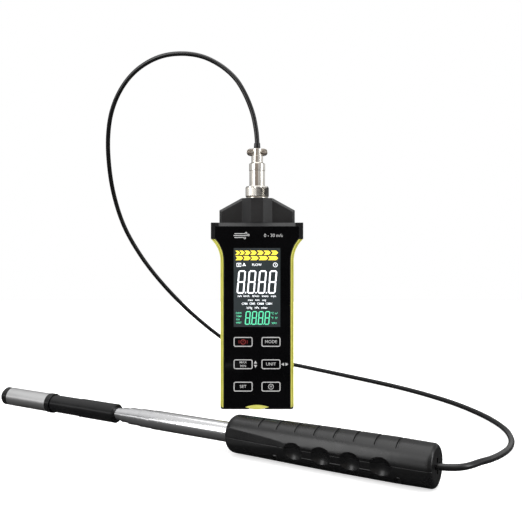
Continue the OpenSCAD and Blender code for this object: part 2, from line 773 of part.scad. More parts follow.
module handle_form() {
    rear_r = grip_at(rear_round) - rear_round;
    nose_r = grip_at(handle_l) - nose_round;
    steps = 24;
    side = [for (i = [0 : steps - 1])
        let (t = rear_round + i * (handle_l - nose_round - rear_round) / steps) [grip_at(t), t]];
    rear = [for (a = [-90 : 15 : -15]) [rear_r + rear_round * cos(a), rear_round + rear_round * sin(a)]];
    nose = [for (a = [0 : 15 : 90])
        [nose_r + nose_round * cos(a), handle_l - nose_round + nose_round * sin(a)]];
    rotate([0, 90, 0]) rotate_extrude($fn = 96) polygon(concat([[0, 0]], rear, side, nose, [[0, handle_l]]));
}

// The balls that press the finger scoops, or with more, the walls behind them.
module scoops(more = 0) {
    rotate([scoop_tilt, 0, 0]) for (i = [0 : scoop_count - 1])
        translate([scoop_t0 + i * scoop_pitch, handle_r + scoop_r - scoop_depth, 0]) sphere(scoop_r + more);
}

// A cross through the handle's rear face, where the cord comes out.
module cross_slot(t0, t1, gap = 0) {
    for (a = [0, 90]) rotate([a, 0, 0])
        translate([t0, -cross_l / 2 + gap, -cross_w / 2 + gap])
            cube([t1 - t0, cross_l - 2 * gap, cross_w - 2 * gap]);
}

// The whole handle, with its thumb grooves, finger scoops and finger rest.
module handle_skin() {
    difference() {
        union() {
            difference() {
                handle_form();
                tube(end_t, handle_l - bush_seat_l, bore_r);
            }
            intersection() {
                scoops(scoop_back);
                tube(end_t, handle_l - bush_seat_l, bore_r + 0.5);
            }
        }
        for (i = [0 : groove_count - 1]) thumb_groove(groove_t0 + i * groove_pitch);
        scoops();
        rotate([scoop_tilt, 0, 0]) translate([scoop_t0, handle_r - 0.5, -band_w / 2])
            cube([(scoop_count - 1) * scoop_pitch, 3, band_w]);
        rotate([swoop_tilt, 0, 0]) translate([swoop_t0, handle_r, -far / 2]) rotate([0, 0, -swoop_slope])
            cube([far, far, far]);
        cross_slot(-1, end_t + 1);
        tube(-1, end_t + 1, cord_d / 2 + 0.2);
        tube(handle_l - bush_seat_l - 1, handle_l + 1, tube_r1 + bush_t + slip);
    }
}

// A groove over the top of the handle, as far round as the thumb reaches.
module thumb_groove(t) {
    reach = 2 * handle_r;
    fan = [for (a = [groove_from : (groove_to - groove_from) / 8 : groove_to]) reach * [-sin(a), cos(a)]];
    intersection() {
        tube(t - groove_w / 2, t + groove_w / 2, handle_r + 3, grip_at(t) - groove_depth);
        translate([t, 0, 0]) rotate([0, 90, 0]) linear_extrude(groove_w + 1, center = true)
            polygon(concat([[0, 0]], fan));
    }
}

// Half of the handle, above or below its seam, with the pillars for the screws.
module handle_half(side) {
    union() {
        intersection() {
            handle_skin();
            translate([-1, -far / 2, side > 0 ? seam_gap / 2 : -far - seam_gap / 2]) cube([handle_l + 2, far, far]);
        }
        for (t = screw_t, y = [-screw_y, screw_y]) intersection() {
            translate([t, y, side > 0 ? seam_gap / 2 : -9 - seam_gap / 2]) cylinder(h = 9, r = 1.9);
            tube(0, handle_l, bore_r + 0.5);
        }
    }
}

module handle_upper_shell() {
    color("#2a2a2a") on_probe() difference() {
        handle_half(1);
        for (t = screw_t, y = [-screw_y, screw_y]) translate([t, y, -1]) cylinder(h = 5, r = 0.9);
    }
}

module handle_lower_shell() {
    color("#2a2a2a") on_probe() union() {
        difference() {
            handle_half(-1);
            for (t = screw_t, y = [-screw_y, screw_y]) translate([t, y, 0]) {
                translate([0, 0, -far]) cylinder(h = far + 1, r = 1.15);
                translate([0, 0, -far]) cylinder(h = far - screw_head_z, r = 1.9);
            }
        }
        for (y = [-2.5, 2.5]) intersection() {
            translate([board_t0, y - 0.6, -bore_r - 1]) cube([board_l, 1.2, bore_r + 1 - board_drop - slip / 2]);
            tube(0, handle_l, bore_r + 0.5);
        }
    }
}

module handle_screws() {
    color("#9a9a9a") on_probe() for (t = screw_t, y = [-screw_y, screw_y]) translate([t, y, 0]) {
        translate([0, 0, -screw_head_z]) cylinder(h = screw_head_z + 3.2, r = 0.85);
        translate([0, 0, -screw_head_z - 1.2]) difference() {
            cylinder(h = 1.2, r = 1.75);
            for (a = [0, 90]) rotate(a) translate([-1.1, -0.2, -1]) cube([2.2, 0.4, 1.6]);
        }
    }
}

module cord_grommet() {
    color("#101010") on_probe() difference() {
        union() {
            tube(end_t + slip, end_t + 2, bore_r - slip);
            cross_slot(1.2, end_t + 1, 0.08);
        }
        tube(-1, 10, cord_d / 2 + 0.1);
    }
}

module cord_anchor() {
    color("#3a3a3a") on_probe() difference() {
        tube(end_t + 2 + slip, end_t + 8, bore_r - slip);
        tube(0, end_t + 6.5, cord_d / 2 + 0.2);
    }
}

module lead_coil() {
    color("#7a1f1f") on_probe() for (i = [0 : 5])
        translate([end_t + 9.2 + 1.2 * i, 0, 0]) rotate([0, 90, 0]) rotate_extrude()
            translate([5, 0]) circle(0.59, $fn = 16);
}

module handle_board() {
    color("#1f5a34") on_probe() translate([board_t0, -board_half, -board_drop]) cube([board_l, 2 * board_half, 1.2]);
}

module nose_bush() {
    color("#0e0e0e") on_probe() difference() {
        tube(handle_l - bush_seat_l + slip, handle_l - 0.3, tube_r1 + bush_t);
        tube(handle_l - bush_seat_l - 1, handle_l + 1, tube_r1 + 0.02);
    }
}

// =================================================================================
// Telescope
// =================================================================================

module tube_1() {
    bore = tube_r1 - tube_wall;
    mouth = tube_1_end - nose_l - nose_cone;
    color("#d9d9d9") on_probe() difference() {
        union() {
            tube(tube_back, mouth, tube_r1);
            tube(mouth - eps, mouth + nose_l, tube_r1 - 0.25);
            tube(mouth + nose_l - eps, tube_1_end, tube_r1 - 0.25, 0, tube_r2 + 0.35);
        }
        tube(tube_back - 1, mouth + 1, bore);
        tube(mouth, tube_1_end + 1, tube_r2 + run);
    }
}

// A sliding tube: its thin wall, and a thicker mouth that guides the next tube.
module sliding_tube(start, end, r, next_r) {
    difference() {
        tube(start, end, r);
        tube(start - 1, end - nose_l, r - tube_wall);
        tube(end - nose_l - eps, end + 1, next_r + run);
    }
}

module tube_2() {
    color("#d9d9d9") on_probe() sliding_tube(tube_back + tube_nest, tube_2_end, tube_r2, tube_r3);
}

module tube_3() {
    color("#d9d9d9") on_probe() sliding_tube(tube_back + 2 * tube_nest, tube_3_end, tube_r3, tube_r4);
}

module tube_4() {
    color("#d9d9d9") on_probe()
        tube(tube_back + 3 * tube_nest, head_back + head_socket, tube_r4, tube_r4 - tube_wall);
}

// A bush on the rear end of a sliding tube, which fills the bore that it runs in.
module guide(start, r, outer_r) {
    color("#c8a24a") on_probe() tube(start + 0.5, start + guide_l, outer_r - tube_wall - run, r + 0.01);
}

module tube_2_guide() { guide(tube_back + tube_nest, tube_r2, tube_r1); }

module tube_3_guide() { guide(tube_back + 2 * tube_nest, tube_r3, tube_r2); }

module tube_4_guide() { guide(tube_back + 3 * tube_nest, tube_r4, tube_r3); }

// =================================================================================
// Sensor head
// =================================================================================

module head_body() {
    color("#161616") on_probe() difference() {
        union() {
            tube(head_back + 0.8, collar_front, collar_d / 2);
            tube(head_back, head_back + 0.8 + eps, collar_d / 2 - 0.8, 0, collar_d / 2);
            tube(collar_front - eps, frame_back, slide_r);
        }
        tube(head_back - 1, head_back + head_socket + slip, tube_r4 + 0.02);
        tube(head_back, frame_back + 1, 1.6);
    }
}

module sensor_frame() {
    color("#c8c8c8") on_probe() difference() {
        tube(frame_back, sleeve_front, slide_r, slide_r - frame_wall);
        translate([window_front - window_l, -window_w / 2, -10]) cube([window_l, window_w, 20]);
    }
}

module guard_sleeve() {
    color("#e4e4e4") on_probe() tube(sleeve_back, sleeve_front, sleeve_d / 2, sleeve_d / 2 - sleeve_t);
}

module guard_grip_ring() {
    color("#161616") on_probe() tube(sleeve_back - grip_ring_l, sleeve_back, sleeve_d / 2 + 0.35, sleeve_d / 2 - sleeve_t);
}

module tip_cap() {
    color("#161616") on_probe() {
        tube(sleeve_front + 0.1, sleeve_front + tip_l - tip_round, tip_r);
        tube(sleeve_front + tip_l - tip_round - eps, sleeve_front + tip_l - 0.6, tip_r, 0, tip_r - 1);
        tube(sleeve_front + tip_l - 0.6 - eps, sleeve_front + tip_l, tip_r - 1, 0, tip_r - 2.4);
        tube(sleeve_front - 4, sleeve_front + 0.2, slide_r - frame_wall - slip / 2);
    }
}

module sensor_carrier() {
    color("#e8e4d8") on_probe() difference() {
        tube(frame_back + 0.2, window_front - window_l - 0.5, slide_r - frame_wall - slip / 2);
        tube(frame_back - 1, frame_back + 8, 1.6);
        sensor_legs(0.02);
    }
}

// The four thin legs that hold the two beads.
module sensor_legs(gap = 0) {
    base = window_front - window_l - 4;
    for (y = prong_y) translate([0, y, 0])
        tube(base, base + 3.5 + prong_l, prong_r + gap);
}

module sensor_prongs() {
    color("#c8c8c8") on_probe() sensor_legs();
}

module sensor_bead(y) {
    base = window_front - window_l - 0.5 + prong_l + 0.7;
    translate([base, y, 0]) sphere(0.9, $fn = 32);
    translate([base - 0.7, y - 0.8, -0.2]) cube([0.5, 1.6, 0.4]);
}

module hot_wire_bead() { color("#a33a1c") on_probe() sensor_bead(-1.6); }

module temperature_bead() { color("#2c4fa0") on_probe() sensor_bead(1.6); }

// =================================================================================
// What is drawn
// =================================================================================

front_shell();
rear_shell();
left_trim();
right_trim();
bottom_tab();
front_panel();
display_window();
display_module();
main_board();
dome_switches();
key_power();
key_mode();
key_range();
key_unit();
key_set();
key_hold();
connector_block();
housing_screws();
battery_cells();
battery_contacts();
battery_door();
socket_shell();
socket_nut();
socket_insulator();
socket_pins();
plug_shell();
plug_insert();
coupling_ring();
plug_backshell();
clamp_bar();
clamp_screws();
cord_boot();
signal_cord();
handle_upper_shell();
handle_lower_shell();
handle_screws();
cord_grommet();
cord_anchor();
lead_coil();
handle_board();
nose_bush();
tube_1();
tube_2();
tube_3();
tube_4();
tube_2_guide();
tube_3_guide();
tube_4_guide();
head_body();
sensor_frame();
guard_sleeve();
guard_grip_ring();
tip_cap();
sensor_carrier();
sensor_prongs();
hot_wire_bead();
temperature_bead();
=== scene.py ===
# %% [markdown]
# # A split hot-wire anemometer
# The object is a pocket handset with a tall colour screen and six keys, a screw-locked
# round plug on its top, a thin signal cord and a telescopic probe with a guarded sensor
# at its tip.  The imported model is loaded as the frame: its pieces already have their
# true sizes and joints, so every new piece takes its place from them.

# %% Load the frame
import math
import bpy
from mathutils import Matrix, Vector


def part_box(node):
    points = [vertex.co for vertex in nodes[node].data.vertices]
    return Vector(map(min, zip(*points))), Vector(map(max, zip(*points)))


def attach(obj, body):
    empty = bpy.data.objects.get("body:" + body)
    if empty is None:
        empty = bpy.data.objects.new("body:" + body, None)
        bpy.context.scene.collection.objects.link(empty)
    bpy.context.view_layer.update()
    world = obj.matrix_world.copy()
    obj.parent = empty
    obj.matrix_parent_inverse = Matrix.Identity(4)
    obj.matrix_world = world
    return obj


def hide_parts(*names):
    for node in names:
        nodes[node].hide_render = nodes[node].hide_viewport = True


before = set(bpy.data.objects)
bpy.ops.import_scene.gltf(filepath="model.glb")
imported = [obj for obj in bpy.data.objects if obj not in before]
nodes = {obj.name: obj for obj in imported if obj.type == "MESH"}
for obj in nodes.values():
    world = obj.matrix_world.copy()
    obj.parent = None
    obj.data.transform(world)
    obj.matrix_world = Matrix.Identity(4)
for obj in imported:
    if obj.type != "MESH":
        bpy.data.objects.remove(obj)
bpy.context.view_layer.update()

# %% [markdown]
# ## The camera
# A product shot of a tall slim object is taken from the height of its screen, with a
# lens a little longer than normal so that the handset's edges stay upright.  A level
# camera keeps upright edges parallel, and a small shift lowers the view onto the probe
# that lies in front.

# %% Camera
SENSOR = 36.0                               # millimetres, Blender's default width
camera_data = bpy.data.cameras.new("camera")
camera_data.sensor_width = SENSOR
camera_data.lens = 48.34                    # millimetres
camera_data.shift_y = -0.046                # a share of the picture, as small as the view allows
camera = bpy.data.objects.new("camera", camera_data)
camera.location = (0.0031, -0.564, 0.135)
camera.rotation_euler = (math.radians(90), 0, 0)
bpy.context.scene.collection.objects.link(camera)
bpy.context.scene.camera = camera
print("camera at", tuple(round(v, 4) for v in camera.location), "lens", camera_data.lens)

# %% [markdown]
# ## The signal cord
# A screened sensor lead is a springy 3.8 mm cable.  It rises straight out of the plug,
# arches over under its own stiffness, comes down behind the handset and then lies on
# the table until it turns up into the rear of the probe's handle.  A curve with a round
# bevel keeps its thickness exactly even, and a smooth spline through listed points
# gives it the slow bends of a stiff lead.  The thickness sits in the points' radius and not
# in the bevel depth, because Blender adds that radius to the box round a curve.

# %% The cord's route, in metres
MM = 0.001                                  # a millimetre, in metres
CORD_D = 3.8 * MM
cord_route = [Vector(p) * MM for p in [
    (0, 0, 197), (0, 0, 204), (0, 0, 211), (-1, 1, 222), (-4, 2, 236), (-10, 3, 251),
    (-18, 5, 264), (-30, 8, 275), (-45, 11, 283), (-62, 15, 286.5), (-80, 20, 285.5),
    (-97, 26, 279), (-111, 32, 268), (-122, 38, 252), (-129, 46, 233), (-132, 56, 208),
    (-131, 71, 177), (-124, 85, 146), (-111, 99, 118), (-94, 114, 92), (-73, 132, 66),
    (-52, 150, 44), (-32, 166, 26), (-14, 178, 12), (0, 183, 5), (14, 181, 2.2),
    (27, 174, 1.9), (39, 165, 1.9), (55, 146, 1.9), (72, 125, 1.9), (88, 105, 1.9),
    (104, 85, 1.9), (120, 64, 1.9), (134, 43, 1.9), (147, 20, 1.9), (158, -4, 1.9),
    (166, -29, 1.9), (171, -54, 1.9), (172, -80, 1.9), (167, -105, 2.4), (157, -130, 4.6),
    (144.5, -152, 7.4), (133, -168.5, 9.8), (123.5, -179.5, 11.6), (115.6, -187.4, 12.3),
    (109.8, -190.6, 12.4), (103.5, -191.2, 12.4), (97.5, -189.5, 12.4), (92, -186.5, 12.4)]]
STEPS_BETWEEN = 8                           # fine points for each chosen one
print(len(cord_route), "points on the route")


def smooth_route(points, steps):
    """More points on the smooth curve through the given ones."""
    last = len(points) - 1
    found = []
    for i in range(last):
        p0, p1, p2, p3 = (points[max(0, min(last, i + k))] for k in (-1, 0, 1, 2))
        for k in range(steps):
            s = k / steps
            found.append(0.5 * (2 * p1 + (p2 - p0) * s + (2 * p0 - 5 * p1 + 4 * p2 - p3) * s * s
                                + (3 * p1 - p0 - 3 * p2 + p3) * s ** 3))
    return found + [points[last]]


# %% Make the cord
cord_points = smooth_route(cord_route, STEPS_BETWEEN)
cord_curve = bpy.data.curves.new("signal_lead", "CURVE")
cord_curve.dimensions = "3D"
cord_curve.bevel_depth = 1.0                # metres, times each point's own small radius
cord_curve.bevel_resolution = 4
cord_curve.use_fill_caps = True
spline = cord_curve.splines.new("POLY")
spline.points.add(len(cord_points) - 1)
for spot, place in zip(spline.points, cord_points):
    spot.co = (*place, 1)
    spot.radius = CORD_D / 2
spline.use_smooth = True
signal_lead = bpy.data.objects.new("signal_lead", cord_curve)
bpy.context.scene.collection.objects.link(signal_lead)
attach(signal_lead, "instrument")
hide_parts("signal_cord")

# %% [markdown]
# ## Small helpers
# Every new piece goes through the same few steps: it gets its finish, it rides on a body
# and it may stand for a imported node.  Keeping those steps in one helper means that no
# piece is ever left behind when a joint moves.

# %% Helpers for pieces
def deselect_all():
    """Operators act on everything selected, so each step starts from nothing."""
    if bpy.context.mode != "OBJECT":
        bpy.ops.object.mode_set(mode="OBJECT")
    bpy.ops.object.select_all(action="DESELECT")


def make_active(piece):
    """Selects one object alone, as the one that operators work on."""
    deselect_all()
    piece.select_set(True)
    bpy.context.view_layer.objects.active = piece


def pick_points(piece, wanted):
    """Opens a mesh for editing with only the points selected for which wanted() is true."""
    make_active(piece)
    bpy.ops.object.mode_set(mode="EDIT")
    bpy.ops.mesh.select_mode(type="VERT")
    bpy.ops.mesh.select_all(action="DESELECT")
    bpy.ops.object.mode_set(mode="OBJECT")
    for vertex in piece.data.vertices:
        vertex.select = wanted(vertex.co)
    bpy.ops.object.mode_set(mode="EDIT")
    return sum(vertex.select for vertex in piece.data.vertices)


def place_in_mesh(piece):
    """Moves an object's place, turn and scale into its mesh."""
    make_active(piece)
    bpy.ops.object.transform_apply(location=True, rotation=True, scale=True)


def triangles(piece):
    return sum(len(face.vertices) - 2 for face in piece.data.polygons)


def fit_out(piece, name, body, finish, stands_for=()):
    """Names a piece, gives it its finish and puts it on its body."""
    piece.name = name
    piece.data.name = name
    piece.data.materials.clear()
    piece.data.materials.append(finish)
    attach(piece, body)
    if stands_for:
        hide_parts(*stands_for)
    print(name, "on", body, "-", triangles(piece), "triangles")
    return piece


# %% [markdown]
# ## Finishes: the shared effects
# Moulded plastic, plated metal and rubber differ in colour, but they share a few effects:
# a fine moulding grain, the smudges and rubbed patches that hands leave, and the fine
# lines that turning or drawing leaves on metal.  Each effect is one node group, built once
# and placed in each material with its own values.

# %% Node group helpers
def new_group(name, inputs, outputs):
    """An empty shader node group with named number inputs and outputs."""
    group = bpy.data.node_groups.new(name, "ShaderNodeTree")
    for label, value in inputs:
        kind = "NodeSocketVector" if value is None else "NodeSocketFloat"
        made = group.interface.new_socket(label, in_out="INPUT", socket_type=kind)
        if value is not None:
            made.default_value = value
    for label in outputs:
        group.interface.new_socket(label, in_out="OUTPUT", socket_type="NodeSocketFloat")
    return group, group.nodes.new("NodeGroupInput"), group.nodes.new("NodeGroupOutput")


def calculate(tree, operation, first, second=None, third=None):
    """A Math node whose inputs are numbers or other nodes' outputs."""
    math_node = tree.nodes.new("ShaderNodeMath")
    math_node.operation = operation
    for spot, value in zip(math_node.inputs, (first, second, third)):
        if isinstance(value, (int, float)):
            spot.default_value = value
        elif value is not None:
            tree.links.new(value, spot)
    return math_node.outputs[0]


def noise_field(tree, vector, scale, detail=3.0, roughness=0.5):
    """The value of a noise pattern at a place."""
    field = tree.nodes.new("ShaderNodeTexNoise")
    field.inputs["Detail"].default_value = detail
    field.inputs["Roughness"].default_value = roughness
    tree.links.new(vector, field.inputs["Vector"])
    if isinstance(scale, (int, float)):
        field.inputs["Scale"].default_value = scale
    else:
        tree.links.new(scale, field.inputs["Scale"])
    return field.outputs["Fac"]


# %% [markdown]
# **Moulding grain.**  A mould is spark-eroded, so its plastic has tiny overlapping pits
# about a third of a millimetre across.  Small smooth cells laid over fine noise give that
# pattern, and the same values make the gloss break up a little.

# %% Moulding grain
grain_group, given, result = new_group(
    "moulding_grain", [("Vector", None), ("Scale", 3000.0)], ["Height", "Mask"])
cells = grain_group.nodes.new("ShaderNodeTexVoronoi")
cells.feature = "SMOOTH_F1"
grain_group.links.new(given.outputs["Vector"], cells.inputs["Vector"])
grain_group.links.new(given.outputs["Scale"], cells.inputs["Scale"])
fine = noise_field(grain_group, given.outputs["Vector"],
                   calculate(grain_group, "MULTIPLY", given.outputs["Scale"], 2.1))
height = calculate(grain_group, "MULTIPLY_ADD", fine, 0.6, cells.outputs["Distance"])
grain_group.links.new(height, result.inputs["Height"])
grain_group.links.new(calculate(grain_group, "MULTIPLY", height, 0.8), result.inputs["Mask"])
print("group", grain_group.name, len(grain_group.nodes), "nodes")

# %% [markdown]
# **Handling.**  Hands leave broad, soft patches where the gloss is a little duller or
# brighter, and a few fine hairline scratches.  Broad noise makes the patches, and noise
# stretched along one direction and cut to its peaks makes the scratches.

# %% Handling marks
handling_group, given, result = new_group(
    "handling_marks", [("Vector", None), ("Scale", 60.0), ("Scratches", 0.3)],
    ["Smudge", "Scratch"])
broad = noise_field(handling_group, given.outputs["Vector"], given.outputs["Scale"], 5.0, 0.6)
smudge = calculate(handling_group, "SUBTRACT", broad, 0.35)
handling_group.links.new(calculate(handling_group, "MAXIMUM", smudge, 0.0),
                         result.inputs["Smudge"])
stretch = handling_group.nodes.new("ShaderNodeMapping")
stretch.inputs["Rotation"].default_value = (0.4, 0.7, 0.3)
stretch.inputs["Scale"].default_value = (30, 900, 900)
handling_group.links.new(given.outputs["Vector"], stretch.inputs["Vector"])
hairs = noise_field(handling_group, stretch.outputs["Vector"], 1.0, 2.0)
peaks = calculate(handling_group, "MULTIPLY",
                  calculate(handling_group, "GREATER_THAN", hairs, 0.71),
                  given.outputs["Scratches"])
handling_group.links.new(peaks, result.inputs["Scratch"])
print("group", handling_group.name, len(handling_group.nodes), "nodes")

# %% [markdown]
# **Tool lines.**  A turned ring carries rings of fine lines, and a drawn tube carries
# lines along its length.  Both are noise that changes fast in one direction and slowly in
# the others.  The stretch is an input, so one group serves both.

# %% Tool lines
lines_group, given, result = new_group(
    "tool_lines", [("Vector", None), ("Scale", 1.0)], ["Height", "Mask"])
coarse = noise_field(lines_group, given.outputs["Vector"], given.outputs["Scale"], 4.0, 0.7)
lines_group.links.new(coarse, result.inputs["Height"])
lines_group.links.new(calculate(lines_group, "SUBTRACT", coarse, 0.4), result.inputs["Mask"])
print("group", lines_group.name, len(lines_group.nodes), "nodes")


# %% [markdown]
# **From effect to finish.**  A finish is one shader with the shared effects placed round it.
# Two recipes, one for plastic and one for metal, then give every finish of the instrument
# from a few numbers: two close shades, a gloss, and the size of the grain or the lines.

# %% Build a finish
def place_group(tree, group, **values):
    """Puts a node group in a material's tree."""
    made = tree.nodes.new("ShaderNodeGroup")
    made.node_tree = group
    for label, value in values.items():
        made.inputs[label].default_value = value
    return made


def blend_colours(tree, factor, first, second):
    """A colour between two others."""
    mix = tree.nodes.new("ShaderNodeMix")
    mix.data_type = "RGBA"
    tree.links.new(factor, mix.inputs[0])
    for spot, colour in ((mix.inputs[6], first), (mix.inputs[7], second)):
        if isinstance(colour, tuple):
            spot.default_value = (*colour, 1)
        else:
            tree.links.new(colour, spot)
    return mix.outputs[2]


def new_finish(name, metallic=0.0, specular=0.5):
    """A material with its shader and object coordinates ready."""
    finish = bpy.data.materials.new(name)
    finish.use_nodes = True
    tree = finish.node_tree
    shader = tree.nodes["Principled BSDF"]
    shader.inputs["Metallic"].default_value = metallic
    shader.inputs["Specular IOR Level"].default_value = specular
    place = tree.nodes.new("ShaderNodeTexCoord").outputs["Object"]
    return finish, tree, shader, place


def add_bump(tree, shader, height, distance):
    """Relief of the given depth, in metres."""
    bump = tree.nodes.new("ShaderNodeBump")
    bump.inputs["Strength"].default_value = 1.0
    bump.inputs["Distance"].default_value = distance
    tree.links.new(height, bump.inputs["Height"])
    tree.links.new(bump.outputs["Normal"], shader.inputs["Normal"])


def turned_place(tree, place, turn=(0, 0, 0), scale=(1, 1, 1)):
    """Object coordinates turned and stretched to suit a piece's own direction."""
    mapping = tree.nodes.new("ShaderNodeMapping")
    mapping.inputs["Rotation"].default_value = [math.radians(a) for a in turn]
    mapping.inputs["Scale"].default_value = scale
    tree.links.new(place, mapping.inputs["Vector"])
    return mapping.outputs["Vector"]


# %% Recipe for a plastic
PLASTIC_PATCHES, PLASTIC_HAIRS = 45.0, 0.15     # scale of the smudges, amount of scratches
GRAIN_IN_COLOUR, HAIR_GLOSS = 0.35, 0.3


def plastic(name, dark, light, rough, grain=2800.0, depth=0.00002, smudge=0.25, specular=0.5):
    """A moulded plastic or rubber: two close shades, grain, and hands' wear in the gloss."""
    finish, tree, shader, place = new_finish(name, specular=specular)
    grains = place_group(tree, grain_group, Scale=grain)
    marks = place_group(tree, handling_group, Scale=PLASTIC_PATCHES, Scratches=PLASTIC_HAIRS)
    for made in (grains, marks):
        tree.links.new(place, made.inputs["Vector"])
    tone = calculate(tree, "ADD", marks.outputs["Smudge"],
                     calculate(tree, "MULTIPLY", grains.outputs["Mask"], GRAIN_IN_COLOUR))
    tree.links.new(blend_colours(tree, tone, dark, light), shader.inputs["Base Color"])
    gloss = calculate(tree, "MULTIPLY_ADD", marks.outputs["Smudge"], smudge, rough)
    gloss = calculate(tree, "SUBTRACT", gloss,
                      calculate(tree, "MULTIPLY", marks.outputs["Scratch"], HAIR_GLOSS))
    tree.links.new(gloss, shader.inputs["Roughness"])
    add_bump(tree, shader, grains.outputs["Height"], depth)
    return finish


# %% Recipe for a metal
METAL_PATCHES, METAL_HAIRS = 120.0, 0.3
LINE_DEPTH = 0.000004                       # metres
SMUDGE_GLOSS, LINE_GLOSS = 0.12, 0.12


def metal(name, base, deep, rough, turn=(0, 0, 0), stretch=(60, 60, 6000)):
    """A plated or polished metal with tool lines and faint smudges."""
    finish, tree, shader, place = new_finish(name, metallic=1.0)
    lines = place_group(tree, lines_group, Scale=1.0)
    marks = place_group(tree, handling_group, Scale=METAL_PATCHES, Scratches=METAL_HAIRS)
    tree.links.new(turned_place(tree, place, turn, stretch), lines.inputs["Vector"])
    tree.links.new(place, marks.inputs["Vector"])
    tree.links.new(blend_colours(tree, marks.outputs["Smudge"], base, deep),
                   shader.inputs["Base Color"])
    gloss = calculate(tree, "MULTIPLY_ADD", marks.outputs["Smudge"], SMUDGE_GLOSS, rough)
    gloss = calculate(tree, "MULTIPLY_ADD", lines.outputs["Mask"], LINE_GLOSS, gloss)
    tree.links.new(gloss, shader.inputs["Roughness"])
    add_bump(tree, shader, lines.outputs["Height"], LINE_DEPTH)
    return finish


# %% [markdown]
# ## The finishes of this instrument
# The handset is satin black with a deep-gloss front panel.  Its rims are a lemon yellow.
# The probe's handle is a softer charcoal than the handset, the plug is nickel with a
# slightly warm tone, and the telescope is bright drawn steel.

# %% Plastics
PROBE_TURN = (0, 0, -150)                   # lays the probe's own direction along X
case_black = plastic("case_black", (0.005, 0.005, 0.0055), (0.014, 0.014, 0.015), 0.34,
                     specular=0.35)
panel_gloss = plastic("panel_gloss", (0.0015, 0.0015, 0.0018), (0.004, 0.004, 0.0045), 0.07,
                      grain=9000.0, depth=0.0000008, smudge=0.1, specular=0.09)
trim_yellow = plastic("trim_yellow", (0.62, 0.6, 0.1), (0.8, 0.78, 0.2), 0.3, grain=4200.0)
block_grey = plastic("block_grey", (0.013, 0.013, 0.0135), (0.03, 0.03, 0.031), 0.33)
handle_charcoal = plastic("handle_charcoal", (0.003, 0.003, 0.0033), (0.008, 0.008, 0.0085), 0.25,
                          depth=0.000012, specular=0.4)
head_gloss = plastic("head_gloss", (0.0025, 0.0025, 0.003), (0.007, 0.007, 0.0075), 0.17,
                     grain=5200.0, depth=0.000004)
insulator_black = plastic("insulator_black", (0.008, 0.008, 0.009), (0.02, 0.02, 0.021), 0.5)
grommet_rubber = plastic("grommet_rubber", (0.006, 0.006, 0.006), (0.016, 0.016, 0.016), 0.62)
cord_rubber = plastic("cord_rubber", (0.003, 0.003, 0.0035), (0.008, 0.008, 0.009), 0.24,
                      grain=1900.0, depth=0.000008)
wire_red = plastic("wire_red", (0.3, 0.02, 0.02), (0.42, 0.05, 0.04), 0.4)
board_green = plastic("board_green", (0.01, 0.09, 0.035), (0.03, 0.17, 0.07), 0.3, grain=1500.0)
cell_sleeve = plastic("cell_sleeve", (0.3, 0.17, 0.04), (0.5, 0.32, 0.1), 0.28)
bead_resin = plastic("bead_resin", (0.25, 0.08, 0.03), (0.5, 0.2, 0.08), 0.22)
ceramic_white = plastic("ceramic_white", (0.6, 0.57, 0.5), (0.75, 0.73, 0.66), 0.42)
print(len(bpy.data.materials), "plastics and rubbers")

# %% Metals
nickel_plate = metal("nickel_plate", (0.74, 0.71, 0.66), (0.6, 0.56, 0.5), 0.13)
screw_steel = metal("screw_steel", (0.5, 0.5, 0.51), (0.36, 0.36, 0.37), 0.3)
tube_steel = metal("tube_steel", (0.82, 0.82, 0.83), (0.7, 0.7, 0.71), 0.13,
                   turn=PROBE_TURN, stretch=(25, 2500, 2500))
guard_silver = metal("guard_silver", (0.8, 0.8, 0.8), (0.68, 0.68, 0.69), 0.3,
                     turn=PROBE_TURN, stretch=(4000, 40, 40))
guide_brass = metal("guide_brass", (0.72, 0.52, 0.2), (0.5, 0.34, 0.12), 0.25,
                    turn=PROBE_TURN, stretch=(4000, 40, 40))
gold_plate = metal("gold_plate", (0.9, 0.66, 0.25), (0.78, 0.52, 0.16), 0.18)
print(len(bpy.data.materials), "finishes")

# %% [markdown]
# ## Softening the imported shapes
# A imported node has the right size, but its edges are razor sharp, and no moulded or
# machined edge is: light always catches a small round.  A copy of the node is merged, its
# sharp edges are rounded by a bevel, and the copy then stands for the node.  Where long
# rounds would meet many slivers, as on the rims and the grip, flat faces are joined first.

# %% Helper: a softened copy
def merged_copy(node, name, joined):
    """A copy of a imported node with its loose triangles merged, and its flats joined if asked."""
    piece = bpy.data.objects.new(name, nodes[node].data.copy())
    bpy.context.scene.collection.objects.link(piece)
    make_active(piece)
    bpy.ops.object.mode_set(mode="EDIT")
    bpy.ops.mesh.select_all(action="SELECT")
    bpy.ops.mesh.remove_doubles(threshold=0.000003)
    if joined:
        bpy.ops.mesh.dissolve_limited(angle_limit=math.radians(0.5))
    return piece


def even_shading(piece, sharp):
    """Smooth shading in which the large faces keep their own flat direction."""
    make_active(piece)
    bpy.ops.object.shade_smooth_by_angle(angle=math.radians(sharp))
    weighted = piece.modifiers.new("weighted", "WEIGHTED_NORMAL")
    weighted.keep_sharp = True
    weighted.weight = 60
    bpy.ops.object.modifier_apply(modifier=weighted.name)


# %% Helper: a softened piece
JOINED_FLATS = ("left_trim", "right_trim", "bottom_tab", "battery_door",
                "handle_upper_shell", "handle_lower_shell")
SHARP_EDGE, EDGE_STEPS = 32, 2              # degrees, and faces across a rounded edge
SMOOTH_BELOW = SHARP_EDGE + 4               # degrees


